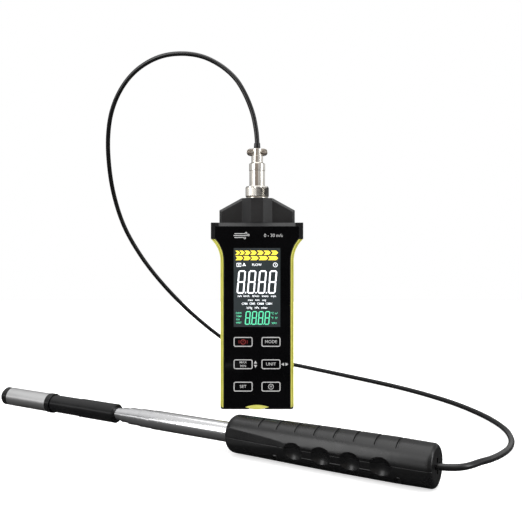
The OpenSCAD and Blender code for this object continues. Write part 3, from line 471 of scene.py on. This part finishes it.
def soften(node, name, edge, body, finish):
    """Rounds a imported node's sharp edges by edge metres, and puts the result in its place."""
    piece = merged_copy(node, name, node in JOINED_FLATS)
    bpy.ops.mesh.select_mode(type="EDGE")
    bpy.ops.mesh.select_all(action="DESELECT")
    bpy.ops.mesh.edges_select_sharp(sharpness=math.radians(SHARP_EDGE))
    bpy.ops.mesh.bevel(offset=edge, segments=EDGE_STEPS, affect="EDGES", clamp_overlap=False)
    bpy.ops.mesh.select_mode(type="VERT")
    bpy.ops.object.mode_set(mode="OBJECT")
    even_shading(piece, SMOOTH_BELOW)
    return fit_out(piece, name, body, finish, [node])


# %% Soften the handset
handset_pieces = (
    ("front_shell", "front_case", 0.3, "instrument", case_black, "case_black"),
    ("rear_shell", "rear_case", 0.4, "instrument", case_black, "case_black"),
    ("left_trim", "left_rim", 0.22, "instrument", trim_yellow, "trim_yellow"),
    ("right_trim", "right_rim", 0.22, "instrument", trim_yellow, "trim_yellow"),
    ("bottom_tab", "foot_tab", 0.25, "instrument", trim_yellow, "trim_yellow"),
    ("front_panel", "gloss_panel", 0.1, "instrument", panel_gloss, "panel_black"),
    ("connector_block", "top_block", 0.16, "instrument", block_grey, "block_grey"),
    ("battery_door", "battery_lid", 0.25, "door", case_black, "case_black"),
    ("housing_screws", "case_screws", 0.1, "instrument", screw_steel, "screw_steel"))
for node, name, edge, body, finish, slot in handset_pieces:
    soften(node, name, edge * MM, body, finish)

# %% [markdown]
# The six keys are low caps in the gloss panel.  Each one rides on its own body, so that
# it sinks when it is pressed and its printing goes with it.

# %% Soften the keys
KEY_NAMES = ("power", "mode", "range", "unit", "set", "hold")
key_middles = {}
for key in KEY_NAMES:
    soften("key_" + key, key + "_cap", 0.00012, f"key_{key}_button", panel_gloss)
    low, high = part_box("key_" + key)
    key_middles[key] = ((low[0] + high[0]) / 2, (low[2] + high[2]) / 2)
print("key middles", {k: tuple(round(v / MM, 1) for v in p) for k, p in key_middles.items()})

# %% [markdown]
# ## The plug
# The barrel, the backshell and the cord clamp are turned and milled nickel-plated brass,
# so they only need their edges broken.  The screws hold a small bar against the cord.

# %% Soften the plug
plug_pieces = (
    ("socket_shell", "socket_body", 0.08, nickel_plate, "nickel"),
    ("plug_shell", "plug_barrel", 0.15, nickel_plate, "nickel"),
    ("plug_backshell", "plug_back", 0.16, nickel_plate, "nickel"),
    ("clamp_bar", "cord_clamp", 0.2, nickel_plate, "nickel"),
    ("clamp_screws", "clamp_screw_pair", 0.1, nickel_plate, "nickel"),
    ("cord_boot", "cord_sleeve", 0.15, cord_rubber, "cord_black"))
for node, name, edge, finish, slot in plug_pieces:
    soften(node, name, edge * MM, "instrument", finish)
signal_lead.data.materials.append(cord_rubber)

# %% [markdown]
# ## The coupling ring
# Fingers turn the ring, so its outside is knurled with slanting ridges.  It is made as a
# lathe would make it: a loop of edges is pulled through the ring's profile, from the
# bore round the outside and back.  Over the knurled band each pull also turns the loop a
# little, and every second edge line is then pushed outwards, which leaves the ridges.

# %% Helper: pull a loop through a profile
def pull_loop(radius, height, last):
    """Extrudes the selected loop to a new radius and height about the Z axis."""
    bpy.ops.mesh.extrude_region_move(TRANSFORM_OT_translate={"value": (0, 0, height - last[1])})
    size = radius / last[0]
    bpy.ops.transform.resize(value=(size, size, 1), center_override=(0, 0, height))
    return radius, height


# %% Pull the ring's profile
ring_low, ring_high = (Vector(c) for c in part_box("coupling_ring"))
RING_TEETH = 30
KNURL_BANDS = 8
KNURL_TURN = 360 / (2 * RING_TEETH)         # degrees for each band
knurl_depth = 0.00045
knurl_margin = 0.0012                       # the plain rim above and below the ridges
ring_r = (ring_high.x - ring_low.x) / 2 - knurl_depth
rim_round = 0.0004
skirt_bore, lip_bore, lip = 0.0075, 0.00635, 0.0012
deselect_all()
bpy.ops.mesh.primitive_circle_add(vertices=2 * RING_TEETH, radius=skirt_bore,
                                  location=(0, 0, ring_low.z))
knurl = bpy.context.object
place_in_mesh(knurl)
bpy.ops.object.mode_set(mode="EDIT")
bpy.ops.mesh.select_all(action="SELECT")
at = (skirt_bore, ring_low.z)
for radius, height in ((ring_r - rim_round, ring_low.z), (ring_r, ring_low.z + rim_round),
                       (ring_r, ring_low.z + knurl_margin)):
    at = pull_loop(radius, height, at)
band = (ring_high.z - ring_low.z - 2 * knurl_margin) / KNURL_BANDS
for turn in range(KNURL_BANDS):
    at = pull_loop(ring_r, at[1] + band, at)
    bpy.ops.transform.rotate(value=math.radians(KNURL_TURN), orient_axis="Z",
                             center_override=(0, 0, at[1]))
for radius, height in ((ring_r, ring_high.z - rim_round), (ring_r - rim_round, ring_high.z),
                       (lip_bore, ring_high.z), (lip_bore, ring_high.z - lip),
                       (skirt_bore, ring_high.z - lip), (skirt_bore, ring_low.z)):
    at = pull_loop(radius, height, at)
bpy.ops.mesh.select_all(action="SELECT")
bpy.ops.mesh.remove_doubles(threshold=0.00001)
bpy.ops.mesh.normals_make_consistent(inside=False)
bpy.ops.object.mode_set(mode="OBJECT")
print("ring blank,", triangles(knurl), "triangles")

# %% [markdown]
# The blank has a plain outside whose edge lines already slant.  Each band is turned by one
# step of the circle, so a slanting line is found by adding a point's step and its band: the
# sum stays even along one line and odd along the next, whichever way the bands turn.

# %% Raise the ridges
def on_ridge(point):
    """True for the points of every second slanting line on the outside."""
    level = (point.z - ring_low.z - knurl_margin) / band
    outside = math.hypot(point.x, point.y) > ring_r - rim_round / 2
    step = math.degrees(math.atan2(point.y, point.x)) / KNURL_TURN
    return outside and -0.1 < level < KNURL_BANDS + 0.1 and round(step + round(level)) % 2 == 0


ridge_count = pick_points(knurl, on_ridge)
push = (ring_r + knurl_depth) / ring_r
bpy.ops.transform.resize(value=(push, push, 1), center_override=(0, 0, 0))
bpy.ops.object.mode_set(mode="OBJECT")
bpy.ops.object.shade_smooth_by_angle(angle=math.radians(12))
fit_out(knurl, "knurled_ring", "ring", nickel_plate, ["coupling_ring"])
print(ridge_count, "ridge points")

# %% [markdown]
# ## The probe
# The handle is two moulded shells with thumb grooves on top and finger scoops on the
# near side, a nose bush, four nested tubes and the sensor head.  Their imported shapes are
# right, so they are softened: generously on the handle, where a hand rubs, and barely on
# the thin steel tubes, whose mouths are only burnished.

# %% Soften the handle
handle_pieces = (
    ("handle_upper_shell", "grip_top", 0.3, handle_charcoal, "handle_black"),
    ("handle_lower_shell", "grip_bottom", 0.3, handle_charcoal, "handle_black"),
    ("handle_screws", "grip_screws", 0.08, screw_steel, "screw_steel"),
    ("cord_grommet", "grommet", 0.15, grommet_rubber, "grommet"),
    ("nose_bush", "nose_ring", 0.2, insulator_black, "insulator"),
    ("tube_1", "outer_tube", 0.06, tube_steel, "tube_steel"))
for node, name, edge, finish, slot in handle_pieces:
    soften(node, name, edge * MM, "instrument", finish)

# %% [markdown]
# The sliding tubes, the head and its guard ride on bodies of their own, so each row names
# the body that carries it.  A tube then takes all that is fixed to it when it slides.

# %% Soften the telescope and the head
moving_pieces = (
    ("tube_2", "second_tube", 0.06, "section_2", tube_steel, "tube_steel"),
    ("tube_3", "third_tube", 0.06, "section_3", tube_steel, "tube_steel"),
    ("tube_4", "inner_tube", 0.06, "head", tube_steel, "tube_steel"),
    ("head_body", "head_barrel", 0.1, "head", head_gloss, "head_black"),
    ("sensor_frame", "sensor_cage", 0.08, "head", tube_steel, "tube_steel"),
    ("tip_cap", "tip", 0.1, "head", head_gloss, "head_black"),
    ("sensor_carrier", "carrier", 0.1, "head", ceramic_white, "ceramic"),
    ("guard_sleeve", "guard", 0.08, "guard", guard_silver, "guard_silver"),
    ("guard_grip_ring", "guard_ring", 0.2, "guard", head_gloss, "head_black"))
for node, name, edge, body, finish, slot in moving_pieces:
    soften(node, name, edge * MM, body, finish)

# %% [markdown]
# ## Pieces inside
# The boards, cells, contacts, pins and guide bushes show only when the lid is off or the
# probe is out.  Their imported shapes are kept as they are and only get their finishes.

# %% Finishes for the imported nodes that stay
kept_nodes = {
    board_green: ("main_board", "handle_board"),
    screw_steel: ("dome_switches", "battery_contacts"),
    cell_sleeve: ("battery_cells",),
    nickel_plate: ("socket_nut", "sensor_prongs"),
    insulator_black: ("socket_insulator", "plug_insert", "cord_anchor"),
    gold_plate: ("socket_pins",),
    wire_red: ("lead_coil",),
    guide_brass: ("tube_2_guide", "tube_3_guide", "tube_4_guide"),
    bead_resin: ("hot_wire_bead", "temperature_bead")}
for finish, names in kept_nodes.items():
    for node in names:
        nodes[node].data.materials.clear()
        nodes[node].data.materials.append(finish)
    print(finish.name, "on", ", ".join(names))

# %% [markdown]
# ## The screen
# The display is a dark glass with a lit pattern behind it.  Real segments are lit areas
# with a very fine dot structure.  The lit shapes are made as thin plates on the glass, so
# that they are real geometry, and their glow is broken up by a fine dot pattern.

# %% Lit and printed finishes
def glowing(name, bright, dim, strength, dots=5200.0):
    """A lit ink whose glow has a fine dot pattern."""
    finish, tree, shader, place = new_finish(name)
    dot = tree.nodes.new("ShaderNodeTexVoronoi")
    dot.inputs["Scale"].default_value = dots
    dot.inputs["Randomness"].default_value = 0.0
    tree.links.new(place, dot.inputs["Vector"])
    glow = blend_colours(tree, dot.outputs["Distance"], bright, dim)
    tree.links.new(glow, shader.inputs["Emission Color"])
    tree.links.new(blend_colours(tree, dot.outputs["Distance"], dim, bright),
                   shader.inputs["Base Color"])
    shader.inputs["Emission Strength"].default_value = strength
    shader.inputs["Roughness"].default_value = 0.3
    return finish


white_glow = glowing("white_glow", (0.95, 0.97, 1.0), (0.75, 0.78, 0.82), 1.0)
yellow_glow = glowing("yellow_glow", (1.0, 0.82, 0.08), (0.8, 0.6, 0.04), 0.9)
green_glow = glowing("green_glow", (0.13, 0.72, 0.42), (0.07, 0.5, 0.28), 0.8)
legend_ink, legend_red = (plastic(name, dark, light, 0.4, grain=6000.0, depth=0.000002)
                          for name, dark, light in (
                              ("legend_ink", (0.5, 0.5, 0.5), (0.68, 0.68, 0.68)),
                              ("legend_red", (0.2, 0.012, 0.012), (0.3, 0.03, 0.03))))
print("lit and printed finishes:", white_glow.name, yellow_glow.name, green_glow.name,
      legend_ink.name, legend_red.name)

# %% Screen glass
screen_glass, tree, shader, place = new_finish("screen_glass", specular=0.4)
shade = noise_field(tree, place, 40.0, 3.0)
dark_glass, light_glass = (0.012, 0.015, 0.016), (0.034, 0.04, 0.042)
rise = calculate(tree, "MULTIPLY_ADD", shade, 0.7, 0.15)
tree.links.new(blend_colours(tree, rise, dark_glass, light_glass), shader.inputs["Base Color"])
tree.links.new(blend_colours(tree, rise, (0.008, 0.011, 0.012), (0.022, 0.027, 0.029)),
               shader.inputs["Emission Color"])
shader.inputs["Emission Strength"].default_value = 1.0
tree.links.new(calculate(tree, "MULTIPLY_ADD", shade, 0.06, 0.05), shader.inputs["Roughness"])
soften("display_window", "screen_pane", 0.0001, "instrument", screen_glass)
soften("display_module", "screen_body", 0.0002, "instrument", insulator_black)
screen_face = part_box("display_window")[0][1]    # the glass's front, which faces -Y
panel_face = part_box("front_panel")[0][1]
lit_face = screen_face - 0.00002            # the lit shapes stand just proud of the glass
INK = 0.00006                               # thickness of a lit or printed shape
PRINT_LIFT = 0.00003                        # how far the printing stands proud
print("screen face at", round(screen_face / MM, 2), "mm")

# %% [markdown]
# The shapes on the glass and the printing on the keys are all flat outlines with a hair
# of thickness.  They are drawn as small flat meshes that lie in the XZ plane, joined, and
# then thickened by a Solidify modifier.

# %% Helpers for flat shapes
def stand_up(piece, x, z, y):
    """Turns a flat mesh drawn in XY so that it faces -Y, and puts it at a place."""
    upright = Matrix.Rotation(math.radians(90), 4, "X")
    piece.data.transform(Matrix.Translation((x, y, z)) @ upright)


def join_shapes(shapes):
    """Joins flat shapes into one piece."""
    make_active(shapes[0])
    for shape in shapes:
        shape.select_set(True)
    if len(shapes) > 1:
        bpy.ops.object.join()
    return bpy.context.object


def thicken(piece, thickness):
    """Gives a flat piece a hair of thickness behind its face."""
    make_active(piece)
    solid = piece.modifiers.new("thickness", "SOLIDIFY")
    solid.thickness = thickness
    solid.offset = -1
    bpy.ops.object.modifier_apply(modifier=solid.name)


def flat_plate(width, height, x, z):
    """A flat plate in XY, centred at (x, z)."""
    deselect_all()
    bpy.ops.mesh.primitive_plane_add(size=1, location=(x, z, 0))
    plate = bpy.context.object
    plate.scale = (width, height, 1)
    place_in_mesh(plate)
    return plate


def copy_shape(shape, dx=0.0, dz=0.0):
    """A copy of a flat shape, with its own mesh, moved across the face."""
    twin = bpy.data.objects.new(shape.name, shape.data.copy())
    bpy.context.scene.collection.objects.link(twin)
    twin.data.transform(Matrix.Translation((dx, dz, 0)))
    return twin


# %% [markdown]
# **Digits.**  A seven-segment digit is six upright and level bars round two windows, and
# one bar between them, each with cut corners so that neighbours nearly meet.  One bar is
# made, copied into a figure eight, and the whole figure leans to the right.

# %% Seven-segment digits
def segment_bar(length, width, x, z, upright):
    """One bar with pointed ends."""
    bar = flat_plate(*((width, length) if upright else (length, width)), x, z)
    bpy.ops.object.mode_set(mode="EDIT")
    bpy.ops.mesh.select_all(action="SELECT")
    bpy.ops.mesh.bevel(offset=width * 0.42, segments=1, affect="VERTICES")
    bpy.ops.object.mode_set(mode="OBJECT")
    return bar


def figure_eight(width, height, bar_w):
    """All seven bars of a digit, with its lower left corner at the origin."""
    gap = bar_w * 0.12
    half = (height - bar_w) / 2
    side = half - 2 * gap
    across = width - bar_w - 2 * gap
    bars = [segment_bar(side, bar_w, x, bar_w / 2 + half * (level + 0.5), True)
            for x in (bar_w / 2, width - bar_w / 2) for level in (0, 1)]
    bars += [segment_bar(across, bar_w, width / 2, bar_w / 2 + half * level, False)
             for level in (0, 1, 2)]
    return join_shapes(bars)


def digit_row(name, x, z, width, height, bar_w, pitch, lean, finish):
    """Four leaning digits with a point after each of the first three."""
    eight = figure_eight(width, height, bar_w)
    shapes = [eight] + [copy_shape(eight, pitch * i) for i in (1, 2, 3)]
    point = segment_bar(bar_w * 1.1, bar_w, pitch - (pitch - width) / 2, bar_w * 0.6, True)
    shapes += [point] + [copy_shape(point, pitch * i) for i in (1, 2)]
    row = join_shapes(shapes)
    row.data.transform(Matrix(((1, lean, 0, 0), (0, 1, 0, 0), (0, 0, 1, 0), (0, 0, 0, 1))))
    stand_up(row, x, z, lit_face)
    thicken(row, INK)
    return fit_out(row, name, "instrument", finish)


digit_row("main_digits", -0.0161, 0.0907, 0.0060, 0.0182, 0.00118, 0.00815, 0.085, white_glow)
digit_row("second_digits", -0.0097, 0.0664, 0.0040, 0.0106, 0.0008, 0.00507, 0.085, green_glow)


# %% [markdown]
# **Speed bar.**  The two rows of arrow-shaped blocks fill up as the air moves faster.
# Each block is a plate whose middle is pulled to the right, so that its front comes to a
# point and its back has a notch.

# %% Arrow blocks
BLOCK_GAP = 0.0007
ARROW_POINT, ARROW_BACK = 0.5, 0.2          # shares of a block's height


def arrow_block(left, right, z, height):
    """A plate between two places on X, with a point in front and a notch behind."""
    middle = (left + right) / 2 - height * ARROW_BACK
    block = flat_plate(right - left - BLOCK_GAP, height, middle, z)
    bpy.ops.object.mode_set(mode="EDIT")
    bpy.ops.mesh.select_all(action="SELECT")
    bpy.ops.mesh.subdivide(number_cuts=1)
    pick_points(block, lambda point: abs(point.y - z) < 0.0001)
    bpy.ops.transform.translate(value=(height * ARROW_POINT, 0, 0))
    bpy.ops.object.mode_set(mode="OBJECT")
    return block


SPEED_ROWS = (                              # middle and height of a row, then its blocks in mm
    (0.1227, 0.0033, ((-16.7, -13.9), (-13.4, -10.2), (-9.6, -5.8), (-5.0, -0.8),
                      (0.2, 4.6), (5.5, 10.1), (11.1, 15.9))),
    (0.1185, 0.0032, ((-16.6, -11.5), (-10.7, -5.6), (-4.9, 0.7), (1.5, 8.0), (8.8, 15.9))))
blocks = [arrow_block(left * MM, right * MM, z, height)
          for z, height, spans in SPEED_ROWS for left, right in spans]
speed_bar = join_shapes(blocks)
stand_up(speed_bar, 0, 0, lit_face)
thicken(speed_bar, INK)
fit_out(speed_bar, "speed_bar", "instrument", yellow_glow)


# %% [markdown]
# **Lettering.**  The units on the screen and the words on the keys are generic, so they
# are set as text in Blender's own font, made into a mesh, and thickened like the rest.

# %% Lettering
def lettering(words, x, z, size, stretch=1.0):
    """Words as a flat mesh in XY, centred on a point."""
    deselect_all()
    bpy.ops.object.text_add(location=(0, 0, 0))
    text = bpy.context.object
    text.data.body = words
    text.data.size = size
    text.data.align_x = "CENTER"
    text.data.align_y = "CENTER"
    text.data.offset = size * 0.006
    text.data.resolution_u = 3
    bpy.ops.object.convert(target="MESH")
    text = bpy.context.object
    text.data.transform(Matrix.Translation((x, z, 0)) @ Matrix.Diagonal((stretch, 1, 1, 1)))
    return text


LETTER_INK = 0.00005                        # thickness of the small lettering


def lit_words(name, rows, finish):
    """Rows of (words, x, z, size) in mm as one piece on the glass."""
    piece = join_shapes([lettering(words, *(v * MM for v in spot)) for words, *spot in rows])
    stand_up(piece, 0, 0, lit_face)
    thicken(piece, LETTER_INK)
    return fit_out(piece, name, "instrument", finish)


UNIT_ROWS = (("m/s", -13.6, 88.8, 2.3), ("km/h", -8.3, 88.8, 2.3), ("ft/min", -1.0, 88.8, 2.3),
             ("knots", 6.4, 88.8, 2.3), ("mph", 12.9, 88.8, 2.3),
             ("max", -5.2, 85.7, 2.3), ("min", 0.2, 85.7, 2.3), ("avg", 5.6, 85.7, 2.3),
             ("CFM", -9.8, 82.8, 2.3), ("CMS", -3.7, 82.8, 2.3), ("CMM", 2.7, 82.8, 2.3),
             ("CMH", 9.3, 82.8, 2.3),
             ("inHg", -6.0, 79.6, 2.4), ("hPa", -0.1, 79.6, 2.4), ("mbar", 5.7, 79.6, 2.4),
             ("FLOW", -0.2, 113.2, 2.7))
lit_words("white_units", UNIT_ROWS, white_glow)
GREEN_ROWS = (("DEW", -14.3, 75.4, 2.0), ("TEMP", -14.2, 72.9, 1.8), ("RH", -14.9, 70.4, 2.0),
              ("WBT", -14.3, 67.9, 2.0), ("°C", 12.0, 75.3, 2.2), ("m²", 15.2, 75.3, 2.1),
              ("°F", 12.0, 71.6, 2.2), ("ft²", 15.2, 71.6, 2.1), ("%RH", 13.4, 67.6, 2.0))
lit_words("green_units", GREEN_ROWS, green_glow)


# %% [markdown]
# **Small signs.**  A clock, a fan and a memory sign sit above the digits.  Rings are made
# from a filled circle that is inset, with its middle deleted.

# %% Rings and frames
def flat_ring(radius, line, x, z, sides=24):
    """A flat ring in XY."""
    deselect_all()
    bpy.ops.mesh.primitive_circle_add(vertices=sides, radius=radius, fill_type="NGON",
                                      location=(x, z, 0))
    ring = bpy.context.object
    place_in_mesh(ring)
    bpy.ops.object.mode_set(mode="EDIT")
    bpy.ops.mesh.select_all(action="SELECT")
    bpy.ops.mesh.inset(thickness=line)
    bpy.ops.mesh.delete(type="FACE")
    bpy.ops.object.mode_set(mode="OBJECT")
    return ring


def round_frame(width, height, corner, line, x, z):
    """The outline of a round-cornered rectangle in XY."""
    frame_shape = flat_plate(width, height, x, z)
    bpy.ops.object.mode_set(mode="EDIT")
    bpy.ops.mesh.select_all(action="SELECT")
    bpy.ops.mesh.bevel(offset=corner, segments=5, affect="VERTICES")
    bpy.ops.mesh.select_all(action="SELECT")
    bpy.ops.mesh.inset(thickness=line)
    bpy.ops.mesh.delete(type="FACE")
    bpy.ops.object.mode_set(mode="OBJECT")
    return frame_shape


def turned_to(shape, x, z, turn):
    """Turns a flat shape at the origin by some degrees, and moves it to a place."""
    turned = Matrix.Rotation(math.radians(turn), 4, "Z")
    shape.data.transform(Matrix.Translation((x, z, 0)) @ turned)
    return shape


def arrow_head(size, x, z, turn):
    """A small triangle that points up before it is turned."""
    deselect_all()
    bpy.ops.mesh.primitive_circle_add(vertices=3, radius=size, fill_type="NGON", location=(0, 0, 0))
    return turned_to(bpy.context.object, x, z, turn)


def slanted_plate(width, height, x, z, turn):
    """A flat plate turned about its own middle."""
    return turned_to(flat_plate(width, height, 0, 0), x, z, turn)


# %% Screen signs
SIGN_Z = 0.1132                             # height of the row of signs
CLOCK_X, STORE_X, FAN_X = 0.0143, -0.0142, -0.0101
signs = [flat_ring(0.0018, 0.0004, CLOCK_X, SIGN_Z),
         flat_plate(0.0003, 0.0012, CLOCK_X, SIGN_Z + 0.0004),
         flat_plate(0.0009, 0.0003, CLOCK_X + 0.0003, SIGN_Z - 0.0002),
         round_frame(0.0036, 0.0030, 0.0003, 0.00035, STORE_X, SIGN_Z),
         flat_ring(0.0006, 0.00035, FAN_X, SIGN_Z)]
signs += [slanted_plate(0.0003, 0.0026, STORE_X, SIGN_Z, turn) for turn in (40, -40)]
BLADE_R = 0.0009                            # from the fan's middle to a blade's
for turn in (0, 120, 240):
    a = math.radians(turn)
    signs += [slanted_plate(0.0007, 0.0011, FAN_X + BLADE_R * math.sin(a),
                            SIGN_Z + BLADE_R * math.cos(a), 25 - turn)]
screen_signs = join_shapes(signs)
stand_up(screen_signs, 0, 0, lit_face)
thicken(screen_signs, INK)
fit_out(screen_signs, "screen_signs", "instrument", white_glow)

# %% [markdown]
# ## Printing on the keys and the panel
# Each key carries a light outline and its word.  The printing is raised by a few
# hundredths of a millimetre, as screen-printed ink is, and rides on the key.

# %% Key printing
KEY_WORDS = {                               # word, its place from the key's middle, size, in mm
    "power": (), "mode": (("MODE", 0, 0, 3.3),), "unit": (("UNIT", 0, 0, 3.3),),
    "range": (("MAX", 0, 1.45, 2.6), ("MIN", 0, -1.45, 2.6)),
    "set": (("SET", 0, 0, 3.3),), "hold": (("H", 0, 0, 2.7),)}
key_print_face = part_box("key_mode")[0][1] - PRINT_LIFT
frame_w, frame_h = 0.0148, 0.0076           # the outline, just inside a cap's edge
for key in KEY_NAMES:
    x, z = key_middles[key]
    shapes = [round_frame(frame_w, frame_h, 0.0015, 0.0007, x, z)]
    shapes += [lettering(word, x + dx * MM, z + dz * MM, size * MM, 1.02)
               for word, dx, dz, size in KEY_WORDS[key]]
    if key == "hold":
        shapes += [flat_ring(0.0022, 0.0004, x, z)]
    printing = join_shapes(shapes)
    stand_up(printing, 0, 0, key_print_face)
    thicken(printing, INK)
    fit_out(printing, key + "_print", f"key_{key}_button", legend_ink)

# %% Power sign
x, z = key_middles["power"]
power_sign = join_shapes([flat_ring(0.0021, 0.0006, x, z),
                          flat_plate(0.0006, 0.0016, x, z + 0.0004),
                          flat_plate(0.0005, 0.0026, x - 0.0032, z),
                          flat_plate(0.0005, 0.0026, x + 0.0032, z)])
stand_up(power_sign, 0, 0, key_print_face)
thicken(power_sign, INK)
fit_out(power_sign, "power_sign", "key_power_button", legend_red)

# %% Printing on the panel
marks = [arrow_head(0.0015, -0.0012, 0.0368, 0), arrow_head(0.0015, -0.0012, 0.0342, 180),
         arrow_head(0.0015, 0.0230, 0.0355, -90), arrow_head(0.0015, 0.0204, 0.0355, 90)]
marks += [flat_plate(w * MM, 0.0006, x * MM, z * MM)
          for w, x, z in ((9.0, -13.2, 137.6), (11.5, -12.6, 136.1), (8.0, -13.7, 134.6))]
marks += [flat_ring(0.0009, 0.0005, x * MM, z * MM)
          for x, z in ((-8.6, 138.0), (-6.8, 136.5), (-9.6, 134.2))]
marks += [lettering("0 - 30 m/s", 0.0128, 0.1361, 0.0036)]
panel_print = join_shapes(marks)
stand_up(panel_print, 0, 0, panel_face - PRINT_LIFT)
thicken(panel_print, INK)
fit_out(panel_print, "panel_print", "instrument", legend_ink)

# %% [markdown]
# ## The floor
# A plain pale table is drawn as a single plane.  It glows a little to the camera alone, so
# that it stays white without lighting the object from below.  To reflections it is dark:
# a black glossy object and polished tubes would otherwise lose their outlines in it.

# %% Floor
bpy.ops.mesh.primitive_plane_add(size=1.8, location=(0, 0, 0))
floor = bpy.context.object
floor.name = "table"
floor_paint = bpy.data.materials.new("table_paper")
floor_paint.use_nodes = True
paper = floor_paint.node_tree.nodes["Principled BSDF"]
paper.inputs["Roughness"].default_value = 0.7
paper.inputs["Specular IOR Level"].default_value = 0.1
paper.inputs["Emission Color"].default_value = (1, 1, 1, 1)
PALE, REFLECTED, CAMERA_GLOW = (0.9, 0.9, 0.9), (0.05, 0.05, 0.05), 0.6
paper_tree = floor_paint.node_tree
path = paper_tree.nodes.new("ShaderNodeLightPath")
paper_tree.links.new(calculate(paper_tree, "MULTIPLY", path.outputs["Is Camera Ray"], CAMERA_GLOW),
                     paper.inputs["Emission Strength"])
paper_tree.links.new(blend_colours(paper_tree, path.outputs["Is Glossy Ray"], PALE, REFLECTED),
                     paper.inputs["Base Color"])
floor.data.materials.append(floor_paint)
print("floor", floor.dimensions[:])

# %% [markdown]
# ## The room
# Polished metal shows nothing but the room round it.  This room is a world whose tone
# changes with the direction: one ramp goes round the horizon, with white walls between warm
# and dark ones, and a second goes from below to above.  The two are multiplied.  The camera
# itself sees plain white, so the background stays clean.

# %% The room's tones
world = bpy.data.worlds.new("studio")
world.use_nodes = True
sky = world.node_tree
sky.nodes.clear()


def tone_ramp(stops, factor):
    """A colour ramp with the given stops, fed by a number from 0 to 1."""
    ramp = sky.nodes.new("ShaderNodeValToRGB")
    for _ in stops[2:]:
        ramp.color_ramp.elements.new(0.5)
    for element, (spot, tone) in zip(ramp.color_ramp.elements, stops):
        element.position = spot
        element.color = (*tone, 1) if isinstance(tone, tuple) else (tone, tone, tone, 1)
    sky.links.new(factor, ramp.inputs[0])
    return ramp.outputs["Color"]


WARM_GREY = (0.36, 0.28, 0.22)
HEIGHT_TONES = ((0.0, 0.6), (0.45, 0.1), (0.52, 0.2), (0.54, 1.0), (0.6, 0.55), (0.67, 0.2),
                (0.78, 0.6), (1.0, 1.0))
ROUND_TONES = ((0.0, 0.5), (0.15, 0.35), (0.2, 1.0), (0.4, 1.0), (0.43, WARM_GREY),
               (0.53, WARM_GREY), (0.55, 0.9), (0.6, 0.9), (0.63, 0.06), (0.69, 0.06),
               (0.72, 1.0), (0.85, 0.9), (1.0, 0.5))
direction = sky.nodes.new("ShaderNodeTexCoord")
split = sky.nodes.new("ShaderNodeSeparateXYZ")
sky.links.new(direction.outputs["Generated"], split.inputs[0])
round_the_table = calculate(sky, "ARCTAN2", split.outputs["X"],
                            calculate(sky, "MULTIPLY", split.outputs["Y"], -1.0))
round_share = calculate(sky, "MULTIPLY_ADD", round_the_table, 0.5 / math.pi, 0.5)
height_share = calculate(sky, "MULTIPLY_ADD", split.outputs["Z"], 0.5, 0.5)
overhead_share = calculate(sky, "POWER", calculate(sky, "ABSOLUTE", split.outputs["Z"]), 0.7)
level_tone = blend_colours(sky, overhead_share, tone_ramp(ROUND_TONES, round_share),
                           (1.0, 1.0, 1.0))
light_tone = sky.nodes.new("ShaderNodeMix")
light_tone.data_type, light_tone.blend_type = "RGBA", "MULTIPLY"
light_tone.inputs[0].default_value = 1.0
sky.links.new(level_tone, light_tone.inputs[6])
sky.links.new(tone_ramp(HEIGHT_TONES, height_share), light_tone.inputs[7])
print("room with", len(ROUND_TONES), "tones round and", len(HEIGHT_TONES), "tones up")

# %% What lights and what is seen
glow, backdrop = sky.nodes.new("ShaderNodeBackground"), sky.nodes.new("ShaderNodeBackground")
sky.links.new(light_tone.outputs[2], glow.inputs["Color"])
glow.inputs["Strength"].default_value = 1.0
backdrop.inputs["Color"].default_value = (1, 1, 1, 1)
seen = sky.nodes.new("ShaderNodeMixShader")
ray = sky.nodes.new("ShaderNodeLightPath")
sky.links.new(ray.outputs["Is Camera Ray"], seen.inputs[0])
sky.links.new(glow.outputs[0], seen.inputs[1])
sky.links.new(backdrop.outputs[0], seen.inputs[2])
sky.links.new(seen.outputs[0], sky.nodes.new("ShaderNodeOutputWorld").inputs["Surface"])
bpy.context.scene.world = world
bpy.context.scene.view_settings.view_transform = "Standard"
print("world", world.name, "with", len(sky.nodes), "nodes")

# %% [markdown]
# ## The lamps
# One big soft source overhead gives the tubes their long highlights, a tall panel on the
# left grazes the glossy front, and a weaker one on the right keeps the dark side open.

# %% Lamps
def soft_panel(name, place, aim, width, height, watts):
    """A rectangular studio light that looks at a point."""
    data = bpy.data.lights.new(name, "AREA")
    data.shape = "RECTANGLE"
    data.size, data.size_y, data.energy = width, height, watts
    lamp = bpy.data.objects.new(name, data)
    lamp.location = place
    lamp.rotation_euler = (Vector(aim) - Vector(place)).to_track_quat("-Z", "Y").to_euler()
    bpy.context.scene.collection.objects.link(lamp)
    print("light", name, watts, "W")


soft_panel("overhead", (0, -0.1, 1.2), (0, 0, 0), 1.4, 1.4, 9)
soft_panel("left_panel", (-0.9, -0.7, 0.6), (0, 0, 0.1), 0.5, 1.0, 6)
soft_panel("right_panel", (1.0, -0.4, 0.4), (0, 0, 0.1), 0.4, 0.8, 4)
